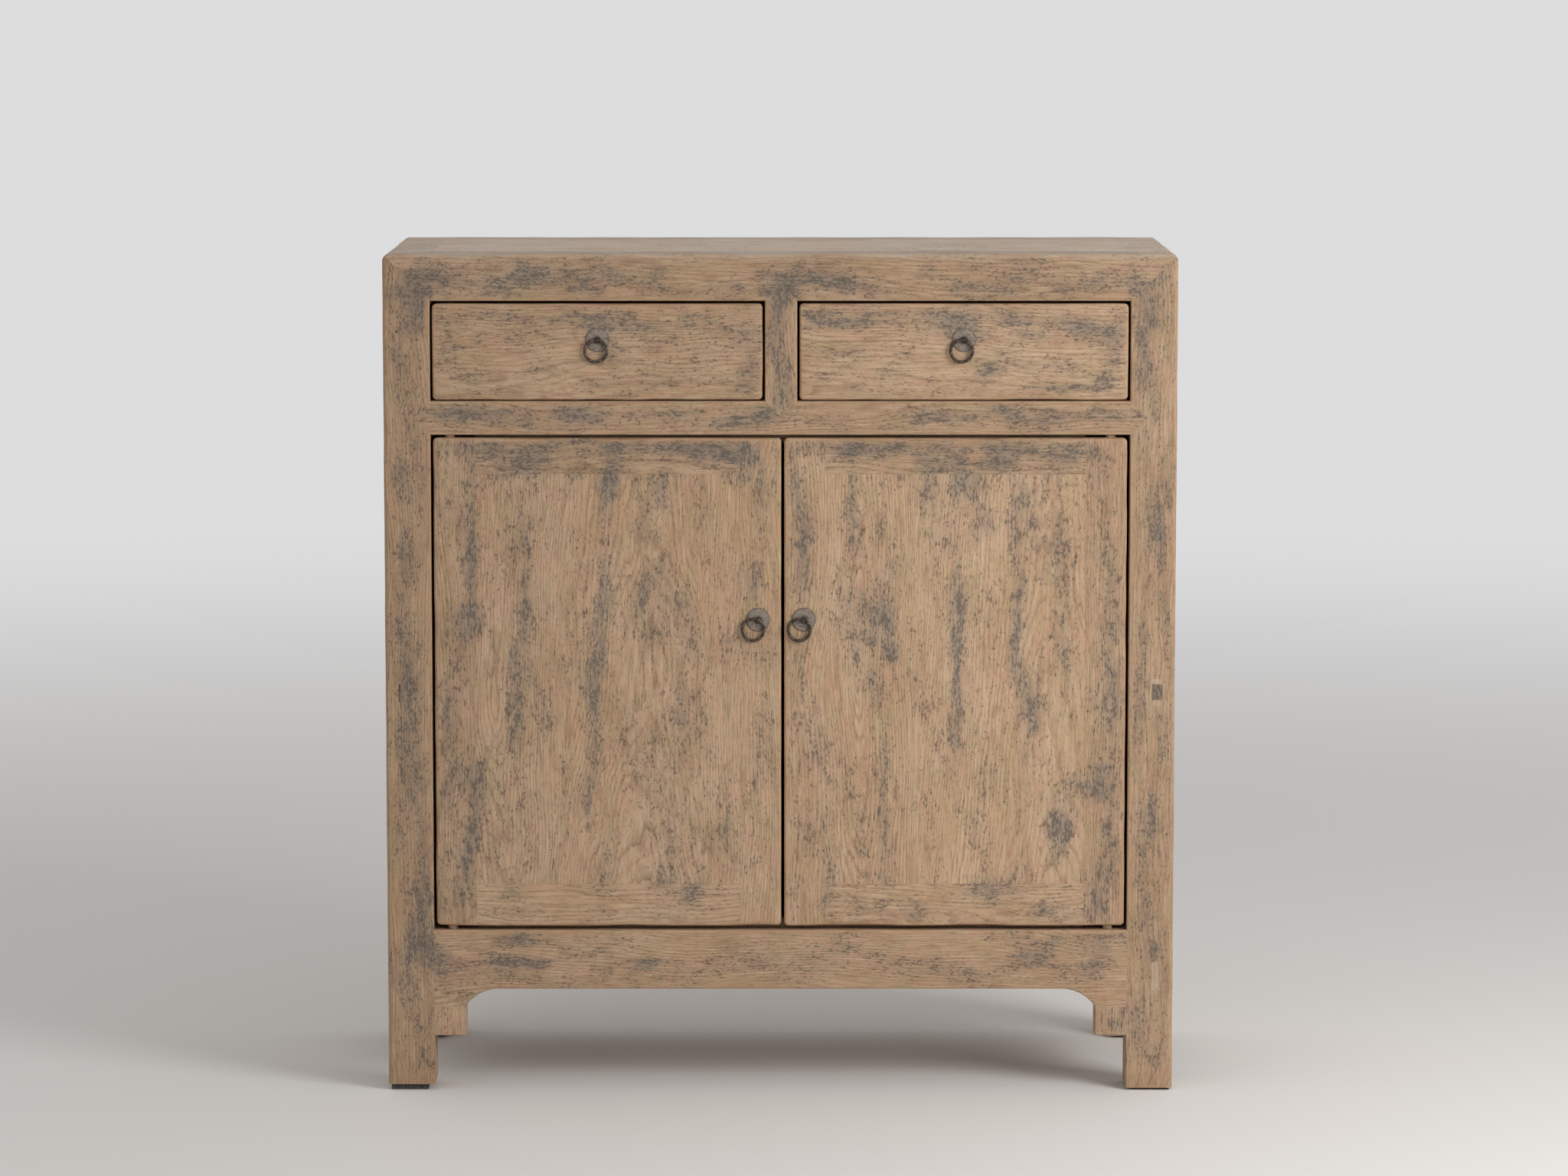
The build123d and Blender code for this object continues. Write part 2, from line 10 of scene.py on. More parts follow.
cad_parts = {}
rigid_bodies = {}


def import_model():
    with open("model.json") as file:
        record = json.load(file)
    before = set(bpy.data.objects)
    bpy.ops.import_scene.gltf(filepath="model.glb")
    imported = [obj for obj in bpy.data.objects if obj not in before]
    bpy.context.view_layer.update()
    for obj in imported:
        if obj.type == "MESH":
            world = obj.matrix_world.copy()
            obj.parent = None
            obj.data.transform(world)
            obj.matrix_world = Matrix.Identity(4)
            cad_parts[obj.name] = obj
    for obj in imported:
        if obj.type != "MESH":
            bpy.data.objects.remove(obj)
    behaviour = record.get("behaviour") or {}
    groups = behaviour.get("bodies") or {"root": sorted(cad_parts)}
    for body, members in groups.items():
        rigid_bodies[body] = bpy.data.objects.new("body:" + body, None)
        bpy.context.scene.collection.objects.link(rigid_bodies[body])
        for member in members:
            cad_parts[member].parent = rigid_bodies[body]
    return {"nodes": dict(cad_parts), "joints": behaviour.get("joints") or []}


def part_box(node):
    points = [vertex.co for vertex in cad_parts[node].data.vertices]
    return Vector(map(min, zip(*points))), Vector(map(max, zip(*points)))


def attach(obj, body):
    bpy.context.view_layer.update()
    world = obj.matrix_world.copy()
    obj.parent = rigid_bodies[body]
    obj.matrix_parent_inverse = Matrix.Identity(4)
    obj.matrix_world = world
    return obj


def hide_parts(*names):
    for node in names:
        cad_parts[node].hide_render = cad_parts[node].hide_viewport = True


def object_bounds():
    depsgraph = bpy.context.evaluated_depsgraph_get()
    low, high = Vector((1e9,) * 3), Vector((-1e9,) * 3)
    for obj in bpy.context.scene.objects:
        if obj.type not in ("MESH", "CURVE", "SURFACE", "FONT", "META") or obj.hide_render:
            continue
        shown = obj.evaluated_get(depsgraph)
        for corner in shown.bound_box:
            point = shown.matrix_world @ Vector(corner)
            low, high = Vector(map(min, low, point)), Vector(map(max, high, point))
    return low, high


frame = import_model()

bl_info = {
    "name": "Washed Elm Cabinet",
    "version": (1, 0, 0),
    "blender": (4, 5, 0),
    "location": "3D View > Sidebar > Cabinet",
    "description": "Dresses a two-drawer, two-door elm cabinet: worn boards, paint residue and iron pulls",
    "category": "Object",
}

MM = 0.001
OUT = Vector((0, -1, 0))
CASE_LOW, CASE_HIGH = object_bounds()
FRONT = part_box("post_front_left")[0].y
BACK = CASE_HIGH.y
SIDE = CASE_HIGH.x
TOP = CASE_HIGH.z

# ---- how each board was sawn ----------------------------------------------


class Sawn(NamedTuple):
    """grain: the axis the fibres follow. heart: where the tree's heart lies beside the board, in mm, in
    the two other axes. lean: how far that heart drifts per mm along the grain, which draws the pointed
    arches of a flat-sawn board. tint: paler (above 0) or darker than the average board. warm: how much
    more orange."""
    grain: str
    heart: tuple
    lean: tuple = (0.0, 0.0)
    tint: float = 0.0
    warm: float = 0.0


BOARDS = {
    "post_front_left": Sawn("z", (-640, -90), (0.012, 0.0), -0.16, 0.9),
    "post_front_right": Sawn("z", (590, -30), (-0.03, 0.02), -0.12, 0.5),
    "post_rear_left": Sawn("z", (-620, 330), (0.01, 0.0), -0.1),
    "post_rear_right": Sawn("z", (380, 330), (0.02, 0.0), -0.05),
    "top_rail_front": Sawn("x", (-90, 940), (0.01, 0.02), -0.17),
    "top_rail_rear": Sawn("x", (260, 920), (0.01, 0.0), -0.05),
    "top_rail_left": Sawn("y", (-560, 900), (0.02, 0.0), -0.05),
    "top_rail_right": Sawn("y", (560, 920), (0.0, 0.02), 0.05),
    "mid_rail_front": Sawn("x", (-100, 880), (0.0, -0.02), -0.13, 1.2),
    "mid_rail_rear": Sawn("x", (120, 780), (0.0, 0.02), -0.15),
    "bottom_rail_front": Sawn("x", (-130, 60), (0.01, 0.03), -0.08, 0.4),
    "bottom_rail_rear": Sawn("x", (260, 80), (0.01, 0.02), -0.1),
    "bottom_rail_left": Sawn("y", (-560, 90), (0.0, 0.02), -0.05),
    "bottom_rail_right": Sawn("y", (560, 210), (0.0, -0.02)),
    "drawer_divider": Sawn("z", (-70, -120), (0.02, 0.02), -0.1, 0.3),
    "drawer_left_front": Sawn("x", (-120, 830), (0.02, 0.05), -0.09),
    "drawer_right_front": Sawn("x", (-130, 860), (-0.02, 0.03), -0.03),
    "door_left_hinge_stile": Sawn("z", (-520, -150), (0.01, 0.0), -0.12, 0.2),
    "door_left_lock_stile": Sawn("z", (60, -130), (0.01, 0.0)),
    "door_left_top_rail": Sawn("x", (-120, 740), (0.0, 0.02), -0.14),
    "door_left_bottom_rail": Sawn("x", (-110, 290), (0.0, -0.02), -0.02),
    "door_right_hinge_stile": Sawn("z", (520, -130), (-0.01, 0.0), -0.08, 0.2),
    "door_right_lock_stile": Sawn("z", (-40, -120), (0.01, 0.0), 0.02),
    "door_right_top_rail": Sawn("x", (-110, 860), (0.0, 0.0), -0.14),
    "door_right_bottom_rail": Sawn("x", (-120, 190), (0.0, 0.01), 0.02),
    "apron_heads": Sawn("z", (-500, -100), (0.0, 0.0), -0.03, -0.3),
}

# Wide boards are glued up of planks: the axis across them, and where each starts, in mm.
PLANKS = {
    "door_left_panel": ("x", [
        (-400, Sawn("z", (-344, -126), (0.0, 0.10), -0.08)),
        (-262, Sawn("z", (-164, -150), (0.0, -0.09), -0.02)),
        (-96, Sawn("z", (20, -120), (-0.05, 0.03))),
    ]),
    "door_right_panel": ("x", [
        (0, Sawn("z", (96, -140), (0.0, 0.08), 0.06)),
        (168, Sawn("z", (300, -110), (-0.08, 0.02), 0.10)),
        (286, Sawn("z", (330, -146), (0.0, -0.07), 0.05)),
    ]),
    "side_panel_left": ("y", [
        (-200, Sawn("z", (-440, -60), (0.0, 0.08), -0.05)),
        (10, Sawn("z", (-430, 130), (0.06, 0.0), -0.12)),
    ]),
    "side_panel_right": ("y", [
        (-200, Sawn("z", (440, -50), (0.05, 0.0), 0.05)),
        (-10, Sawn("z", (446, 80), (-0.08, 0.02))),
    ]),
    "top_boards": ("y", [
        (-200, Sawn("x", (-70, 985), (0.0, 0.07), 0.15, -0.8)),
        (3.95, Sawn("x", (70, 980), (0.02, -0.06), 0.12, -0.8)),
    ]),
    "back_panels": ("x", [
        (-500, Sawn("z", (-330, 150), (0.0, -0.06), -0.2)),
        (-210, Sawn("z", (-60, 160), (0.05, 0.03), -0.15)),
        (70, Sawn("z", (180, 150), (0.0, 0.06), -0.22)),
        (300, Sawn("z", (360, 164), (0.0, -0.05), -0.12)),
    ]),
}

# Every plank has a number, which picks its own stretch of grain: boards stand a few numbers apart.
WORN = sorted([*BOARDS, *PLANKS])
NUMBERS_APART = 5
FIRST_INSIDE = 300

INSIDE = {
    "side_battens": Sawn("y", (-500, 500), (0.0, 0.02), -0.3),
    "top_battens": Sawn("y", (-60, 940), (0.0, 0.02), -0.3),
    "floor_boards": Sawn("x", (-60, 160), (0.0, 0.05), -0.25),
    "drawer_runners": Sawn("y", (-300, 780), (0.0, 0.02), -0.3),
    "door_stops": Sawn("x", (-120, 500), (0.0, 0.02), -0.3),
    "door_left_battens": Sawn("x", (-130, 500), (0.0, 0.02), -0.2),
    "door_right_battens": Sawn("x", (-120, 520), (0.0, 0.02), -0.2),
    "drawer_left_side_left": Sawn("y", (-440, 850), (0.0, 0.03), -0.12),
    "drawer_left_side_right": Sawn("y", (-60, 830), (0.0, 0.03), -0.16),
    "drawer_left_back": Sawn("x", (200, 860), (0.0, 0.03), -0.16),
    "drawer_left_bottom": Sawn("x", (-60, 800), (0.0, 0.05), -0.1),
    "drawer_right_side_left": Sawn("y", (60, 840), (0.0, 0.03), -0.1),
    "drawer_right_side_right": Sawn("y", (440, 860), (0.0, 0.03), -0.14),
    "drawer_right_back": Sawn("x", (210, 870), (0.0, 0.03), -0.12),
    "drawer_right_bottom": Sawn("x", (40, 810), (0.0, 0.05), -0.14),
}

# ---- where the old paint is left, and other traces of use ---------------------
# Patches on the front: (x, z, half width, half height, strength), in mm, and the lean of a slanted streak.

RESIDUE = [
    # top rail
    (-440, 985, 26, 22, 0.9), (-420, 1000, 30, 14, 0.6), (-380, 990, 30, 14, 0.4), (-330, 985, 30, 14, 0.5),
    (-300, 998, 24, 16, 0.9), (-240, 985, 30, 14, 0.5), (-200, 1000, 26, 12, 0.45),
    (-150, 1000, 24, 12, 0.5), (-145, 985, 24, 12, 0.45), (-50, 985, 30, 12, 0.55), (0, 985, 20, 24, 0.95),
    (40, 995, 30, 12, 0.75), (75, 990, 24, 14, 0.8), (110, 985, 20, 12, 0.5), (175, 1005, 20, 14, 0.5),
    (215, 985, 26, 12, 0.5), (270, 985, 24, 14, 0.55), (300, 1000, 24, 14, 0.55), (350, 985, 26, 14, 0.5),
    (390, 995, 30, 14, 0.55), (440, 985, 26, 24, 0.6),
    # left drawer
    (-395, 945, 30, 10, 0.6), (-340, 950, 30, 10, 0.5), (-300, 940, 30, 12, 0.55), (-330, 920, 40, 8, 0.4),
    (-260, 950, 25, 10, 0.5), (-226, 938, 24, 22, 0.9), (-190, 950, 20, 9, 0.6), (-170, 935, 30, 8, 0.6),
    (-100, 945, 30, 10, 0.5), (-50, 930, 26, 14, 0.5), (-35, 880, 14, 24, 0.5), (-290, 885, 20, 10, 0.4),
    (-230, 868, 26, 8, 0.3), (-380, 875, 20, 14, 0.35), (-150, 915, 30, 8, 0.35), (-90, 905, 24, 8, 0.35),
    (-400, 905, 12, 24, 0.4), (-200, 905, 14, 20, 0.55),
    # right drawer
    (45, 945, 24, 12, 0.75), (80, 942, 34, 10, 0.8), (120, 950, 30, 8, 0.6), (180, 950, 24, 9, 0.6),
    (212, 940, 26, 18, 0.85), (240, 925, 20, 10, 0.6), (290, 945, 30, 10, 0.7), (300, 925, 24, 8, 0.6),
    (345, 945, 24, 10, 0.6), (368, 935, 18, 12, 0.9), (395, 930, 20, 14, 0.7), (75, 905, 30, 8, 0.55),
    (150, 905, 24, 8, 0.5), (130, 885, 20, 7, 0.4), (255, 885, 20, 12, 0.7), (265, 903, 14, 10, 0.5),
    (340, 862, 50, 7, 0.7), (390, 870, 22, 14, 0.65), (330, 890, 30, 7, 0.45), (55, 880, 20, 8, 0.35),
    (400, 900, 12, 20, 0.45),
    # mid rail and the divider
    (-410, 828, 16, 12, 0.6), (-380, 832, 36, 12, 0.9), (-330, 830, 34, 10, 0.75), (-250, 832, 30, 14, 0.9),
    (-225, 825, 20, 10, 0.75), (-130, 830, 30, 8, 0.5), (-60, 820, 24, 8, 0.7), (-25, 828, 20, 8, 0.7),
    (60, 822, 30, 6, 0.5), (180, 830, 30, 8, 0.6), (215, 826, 24, 8, 0.6), (270, 834, 34, 10, 0.9),
    (340, 828, 30, 8, 0.65), (395, 830, 20, 10, 0.6), (-6, 960, 14, 24, 0.8), (-6, 915, 14, 32, 0.6),
    (6, 876, 12, 28, 0.5), (-10, 848, 12, 16, 0.5),
    # left post
    (-437, 985, 13, 32, 0.74), (-440, 950, 20, 28, 0.74), (-455, 920, 16, 40, 0.49),
    (-462, 870, 10, 50, 0.45), (-446, 850, 14, 40, 0.37), (-460, 760, 9, 20, 0.78),
    (-448, 800, 14, 24, 0.49), (-455, 730, 12, 20, 0.33), (-460, 680, 10, 28, 0.49),
    (-450, 658, 12, 36, 0.66), (-460, 600, 10, 40, 0.33), (-456, 491, 9, 22, 0.74),
    (-450, 530, 14, 50, 0.41), (-446, 440, 14, 60, 0.41), (-462, 400, 8, 60, 0.29),
    (-440, 330, 12, 60, 0.53), (-435, 242, 9, 34, 0.66), (-460, 290, 9, 60, 0.29),
    (-450, 200, 14, 40, 0.29), (-457, 130, 11, 26, 0.66), (-445, 90, 12, 40, 0.37),
    (-462, 40, 12, 30, 0.25),
    # right post
    (436, 945, 18, 34, 0.7), (440, 890, 16, 40, 0.7), (452, 830, 12, 40, 0.45), (440, 780, 10, 40, 0.4),
    (450, 690, 14, 50, 0.5), (463, 668, 6, 22, 0.6), (464, 610, 8, 50, 0.35), (440, 560, 8, 60, 0.4),
    (462, 430, 8, 34, 0.5), (438, 440, 9, 40, 0.4), (450, 345, 13, 46, 0.75), (444, 240, 14, 40, 0.4),
    (455, 160, 9, 30, 0.3), (440, 100, 10, 40, 0.3), (460, 50, 12, 24, 0.25),
    # left door, top band
    (-385, 790, 28, 14, 0.7), (-345, 785, 20, 20, 0.6), (-300, 778, 30, 20, 0.8), (-330, 755, 20, 10, 0.4),
    (-262, 798, 30, 8, 0.5), (-245, 770, 12, 22, 0.4), (-205, 790, 30, 12, 0.8), (-205, 752, 14, 26, 0.9),
    (-215, 725, 9, 20, 0.5), (-160, 790, 25, 10, 0.7), (-140, 745, 12, 28, 0.7), (-120, 790, 25, 14, 0.7),
    (-95, 785, 20, 14, 0.9), (-70, 785, 20, 18, 0.9), (-42, 782, 18, 18, 0.9), (-50, 755, 14, 14, 0.5),
    (-25, 760, 10, 30, 0.5), (-255, 740, 14, 16, 0.35), (-300, 745, 10, 20, 0.4), (-370, 750, 16, 20, 0.35),
    # left door, streaks
    (-375, 655, 9, 80, 0.75), (-380, 580, 22, 22, 0.7), (-388, 520, 16, 60, 0.4), (-405, 430, 14, 70, 0.5),
    (-380, 395, 20, 30, 0.5), (-372, 330, 10, 60, 0.7, 0.08), (-385, 270, 14, 50, 0.6),
    (-400, 350, 12, 40, 0.4), (-395, 700, 20, 40, 0.3), (-310, 690, 10, 50, 0.45), (-307, 610, 10, 40, 0.5),
    (-318, 540, 12, 60, 0.75, 0.1), (-322, 470, 12, 40, 0.7), (-288, 462, 9, 24, 0.7),
    (-300, 500, 10, 30, 0.4), (-335, 330, 8, 40, 0.4), (-350, 290, 10, 40, 0.35), (-330, 240, 20, 20, 0.35),
    (-212, 680, 9, 40, 0.5), (-213, 620, 9, 34, 0.8), (-218, 560, 8, 50, 0.7), (-228, 500, 12, 40, 0.85),
    (-225, 430, 8, 50, 0.7), (-232, 360, 7, 40, 0.85), (-215, 255, 16, 40, 0.35), (-168, 690, 14, 40, 0.35),
    (-165, 615, 10, 30, 0.75, 0.3), (-140, 640, 14, 40, 0.5), (-150, 560, 16, 40, 0.35),
    (-120, 600, 20, 24, 0.5), (-110, 555, 12, 30, 0.45), (-120, 475, 18, 24, 0.6),
    (-150, 440, 10, 60, 0.35), (-112, 430, 12, 30, 0.3), (-137, 320, 10, 50, 0.35),
    (-140, 255, 20, 24, 0.5), (-105, 250, 16, 22, 0.65), (-90, 690, 10, 40, 0.25), (-60, 640, 12, 40, 0.3),
    (-30, 620, 12, 30, 0.6), (-30, 545, 12, 24, 0.5), (-25, 700, 8, 60, 0.35), (-60, 540, 10, 40, 0.3),
    (-65, 330, 10, 50, 0.3), (-20, 470, 8, 50, 0.3), (-25, 360, 8, 60, 0.35), (-60, 250, 20, 20, 0.25),
    # right door, top band
    (30, 790, 20, 14, 0.5), (75, 788, 25, 12, 0.7), (105, 787, 25, 10, 0.85), (140, 790, 30, 12, 0.7),
    (180, 780, 20, 20, 0.7), (200, 800, 14, 14, 0.6), (215, 760, 14, 40, 0.7), (245, 785, 16, 20, 0.5),
    (270, 780, 20, 26, 0.85), (300, 790, 20, 12, 0.6), (330, 780, 20, 20, 0.6), (355, 785, 20, 14, 0.7),
    (390, 780, 20, 20, 0.5), (140, 760, 20, 14, 0.4), (180, 745, 16, 20, 0.5), (240, 745, 16, 20, 0.5),
    (330, 745, 16, 20, 0.4), (380, 740, 20, 30, 0.4), (295, 730, 14, 30, 0.5),
    # right door, streaks
    (18, 740, 8, 30, 0.6), (28, 680, 10, 40, 0.85), (28, 630, 9, 30, 0.8), (22, 520, 8, 30, 0.45),
    (20, 470, 8, 30, 0.35), (45, 430, 14, 40, 0.45), (35, 325, 16, 26, 0.5), (58, 320, 5, 60, 0.7),
    (60, 240, 8, 40, 0.4), (85, 720, 6, 50, 0.8), (92, 670, 8, 30, 0.5), (75, 610, 14, 40, 0.35),
    (100, 605, 12, 20, 0.5), (90, 560, 10, 50, 0.5), (122, 580, 18, 30, 0.9), (133, 545, 10, 20, 0.8),
    (112, 500, 8, 40, 0.4), (120, 690, 14, 20, 0.45), (130, 640, 14, 30, 0.4), (127, 390, 6, 60, 0.6, 0.06),
    (125, 330, 7, 30, 0.75), (128, 270, 8, 40, 0.4), (100, 290, 8, 50, 0.35), (185, 665, 12, 40, 0.45),
    (180, 720, 14, 20, 0.4), (205, 690, 12, 30, 0.5), (216, 620, 10, 50, 0.7), (216, 540, 8, 60, 0.75),
    (214, 460, 9, 60, 0.7), (215, 380, 8, 40, 0.35), (240, 700, 14, 30, 0.5), (252, 700, 12, 20, 0.6),
    (285, 690, 10, 50, 0.5), (290, 620, 10, 40, 0.65), (285, 565, 9, 40, 0.8), (285, 520, 9, 30, 0.6),
    (298, 480, 12, 40, 0.7), (310, 455, 8, 30, 0.5), (300, 410, 10, 40, 0.35), (310, 690, 12, 30, 0.5),
    (325, 650, 12, 30, 0.4), (340, 600, 10, 60, 0.4), (340, 690, 10, 40, 0.35), (350, 520, 10, 60, 0.35),
    (400, 600, 12, 80, 0.5), (400, 480, 12, 60, 0.55), (390, 380, 16, 26, 0.9), (402, 300, 12, 50, 0.6),
    (385, 250, 16, 30, 0.5), (250, 385, 14, 24, 0.45), (240, 320, 12, 20, 0.3), (340, 340, 14, 30, 0.6),
    (345, 320, 16, 24, 0.6), (360, 380, 20, 20, 0.45), (335, 290, 14, 20, 0.4), (250, 250, 26, 20, 0.6),
    (320, 225, 24, 14, 0.6), (100, 225, 30, 12, 0.45), (165, 225, 20, 16, 0.5), (20, 240, 10, 30, 0.3),
    (370, 220, 30, 14, 0.5), (285, 262, 20, 16, 0.4),
    # apron and its heads
    (-440, 180, 20, 30, 0.6), (-420, 165, 24, 26, 0.7), (-320, 186, 30, 8, 0.9), (-330, 158, 34, 8, 1.0),
    (-290, 158, 20, 6, 0.6), (-165, 158, 22, 7, 1.0), (-130, 160, 14, 4, 0.5), (-200, 182, 30, 6, 0.3),
    (120, 168, 10, 4, 0.5), (60, 175, 40, 5, 0.25), (300, 165, 24, 12, 0.6), (330, 185, 24, 8, 0.4),
    (385, 165, 20, 22, 0.6), (390, 185, 20, 8, 0.5), (-404, 84, 12, 12, 0.25), (404, 84, 14, 14, 0.4),
]

# Picks the way in which the edges of the patches wander.
WANDER_SEED = 1

# Knocks and repairs on the fronts of the posts: (low x, low z, high x, high z, depth, paint, rubbed,
# dirt, bleach), in mm, the last four as shares.
KNOCKS = {
    "post_front_right": [
        (452, 483, 464, 501, 0.5, 1.0, 0.0, 0.30, 0.0),
        (452, 503, 462, 508, 0.1, 0.0, 0.0, 0.0, 0.5),
        (453, 475, 463, 481, 0.1, 0.1, 0.0, 0.0, 0.25),
        (454, 124, 463, 159, 0.1, 0.05, 0.0, 0.0, 0.3),
    ],
    "post_front_left": [
        (-464.5, 929.7, -461.9, 932.3, 1.5, 0.0, 0.0, 1.0, 0.0),
        (-463.8, 481, -462.4, 501, 0.9, 0.3, 0.0, 1.0, 0.0),
    ],
}

# Flush panels: the axis that their face looks along, which way, and how far dust fills the hairline
# round them, in mm.
FLUSH_PANELS = {
    "door_left_panel": (1, -1, 0.33),
    "door_right_panel": (1, -1, 0.33),
    "side_panel_left": (0, -1, 0.35),
    "side_panel_right": (0, 1, 0.35),
    "top_boards": (2, 1, 0.35),
}

# Boards that lie glued side by side: the axis across the seam, and where it runs, in mm.
GLUED = {"top_boards": (1, 3.95)}
SEAM_DEPTH = 0.45 * MM

# The curve at each end of the apron: where it starts and ends, from the head's inner face, and how much
# fuller it is cut than the solid's plain arcs, in mm.
CURVE_START, CURVE_END, CURVE_RISE = 1.5, 36.5, 2.6
CURVE_CUTS = 14

# How far in from the outside wear reaches.
DIPPED = 12 * MM  # dips of the faces
ROUNDED = 7 * MM  # rounding of the outer edges
SKIN = 8 * MM  # colour of each face
RIM = 5 * MM  # rounding beside the case's openings
TURNING = 6.5 * MM  # round a door's axis, where pivot and socket stay round


# ---- settings ---------------------------------------------------------------

def colour(name, description, default):
    return FloatVectorProperty(name=name, description=description, subtype="COLOR", default=default,
                               min=0, max=1)


def length(name, description, default, **limits):
    return FloatProperty(name=name, description=description, subtype="DISTANCE", default=default, **limits)


class ElmFinish(bpy.types.PropertyGroup):
    pale: colour("Pale wood", "Sanded wood where it is lightest", (0.500, 0.340, 0.215))
    warm: colour("Warm wood", "Sanded wood where it is most orange", (0.450, 0.290, 0.169))
    rosy: colour("Rosy wood", "Patches that lean to pink", (0.500, 0.292, 0.190))
    olive: colour("Olive wood", "Patches that lean to green-grey", (0.400, 0.295, 0.162))
    ring: colour("Growth rings", "The porous, darker start of each year's growth", (0.21, 0.122, 0.068))
    pore: colour("Pores", "Dirt in the open pores", (0.085, 0.056, 0.038))
    lime: colour("Filler", "Pale dust rubbed into the grain", (0.595, 0.446, 0.306))
    film: colour("Paint film", "Thin haze of the old paint", (0.185, 0.158, 0.134))
    stain: colour("Stain", "Brownish trace where the paint is all but gone", (0.250, 0.182, 0.128))
    paint: colour("Paint", "Old blue-grey paint left in the hollows", (0.088, 0.074, 0.062))
    soil: colour("Soiled specks", "Lone specks of paint and dirt", (0.088, 0.058, 0.038))
    bleached: colour("Bleached wood", "Top boards, dried out and dusty", (0.56, 0.475, 0.395))
    worn: colour("Worn edges", "Edges rubbed down to bare, polished wood", (0.46, 0.275, 0.155))
    # Laid as dirt, and also as painted shade beside the gaps and on the door pivots.
    grime_and_shade: colour("Grime and shade", "Dark dirt in corners, and painted shade beside the gaps", (0.095, 0.052, 0.030))
    ring_width: length("Ring width", "One year's growth", 3.4 * MM, min=0.5 * MM)
    ring_depth: length("Ring relief", "How deep brushing has cut the soft growth", 0.35 * MM, min=0)
    speckle: FloatProperty(
        name="Speckle", description="Paint specks all over, outside the patches", subtype="FACTOR",
        default=0.27, min=0, max=1)


class BoardWear(bpy.types.PropertyGroup):
    mesh_step: length("Mesh step", "Size of the faces that carry wear and paint", 8 * MM, min=3 * MM)
    unevenness: length("Unevenness", "How far the hand-planed faces dip", 0.35 * MM, min=0)
    edge_loss: length("Edge loss", "How much wear has taken off the outer edges", 1.6 * MM, min=0)
    edge_width: length("Rubbed width", "How far the rubbed colour reaches in from an edge", 4.0 * MM,
                       min=0.5 * MM)


class IronFinish(bpy.types.PropertyGroup):
    dark: colour("Dark iron", "Oxide in the hollows", (0.040, 0.028, 0.022))
    bright: colour("Rubbed iron", "Iron where hands have rubbed it", (0.205, 0.165, 0.135))
    rust: colour("Rust", "Brown rust", (0.105, 0.052, 0.032))
    washed: colour("Washed plate", "Plates sanded and washed along with the wood", (0.275, 0.226, 0.182))
    stained_and_shaded: colour("Stained and shaded plate", "Pits, and painted shade at the rims and round the pin", (0.120, 0.092, 0.076))
    wire: length("Ring wire", "Half the thickness of a ring's wire", 2.08 * MM, min=0.5 * MM, max=2.1 * MM)


class StageSettings(bpy.types.PropertyGroup):
    floor: colour("Floor", "Pale floor", (0.78, 0.76, 0.745))
    backdrop: colour("Backdrop", "What the camera sees beyond the floor", (0.72, 0.72, 0.73))
    sky: colour("Surround", "Pale light all round", (1.0, 0.995, 0.98))
    sky_strength: FloatProperty(name="Surround strength", description="Light from all round", default=0.55)
    key_power: FloatProperty(
        name="Key lamp", description="Large lamp at the right of the front", subtype="POWER", default=54.0)
    fill_power: FloatProperty(
        name="Fill lamp", description="Large lamp at the left of the front", subtype="POWER", default=9.0)
    lens: FloatProperty(
        name="Lens", description="Focal length of the camera", subtype="DISTANCE_CAMERA", unit="CAMERA",
        default=126.4)
    camera_back: length("Camera distance", "From the camera to the cabinet's front", 6.6301)
    camera_height: length("Camera height", "Above the floor", 1.4003)
    camera_side: length("Camera side step", "To the right of the middle", 0.00455)
    camera_tilt: FloatProperty(
        name="Camera tilt", description="Down from level", subtype="ANGLE", default=math.radians(6.714))


class CabinetSettings(bpy.types.PropertyGroup):
    elm: PointerProperty(type=ElmFinish, name="Elm", description="Colours and grain of the wood")
    wear: PointerProperty(type=BoardWear, name="Wear", description="Unevenness and rubbed edges")
    iron: PointerProperty(type=IronFinish, name="Iron", description="Ring pulls")
    stage: PointerProperty(type=StageSettings, name="Stage", description="Floor, lamps and camera")


def settings():
    return bpy.context.scene.elm_cabinet


# ---- node helpers -------------------------------------------------------------

# The colour sockets of a mix: its other sockets have the same names.
MIX_A, MIX_B, MIX_RESULT = 6, 7, 2


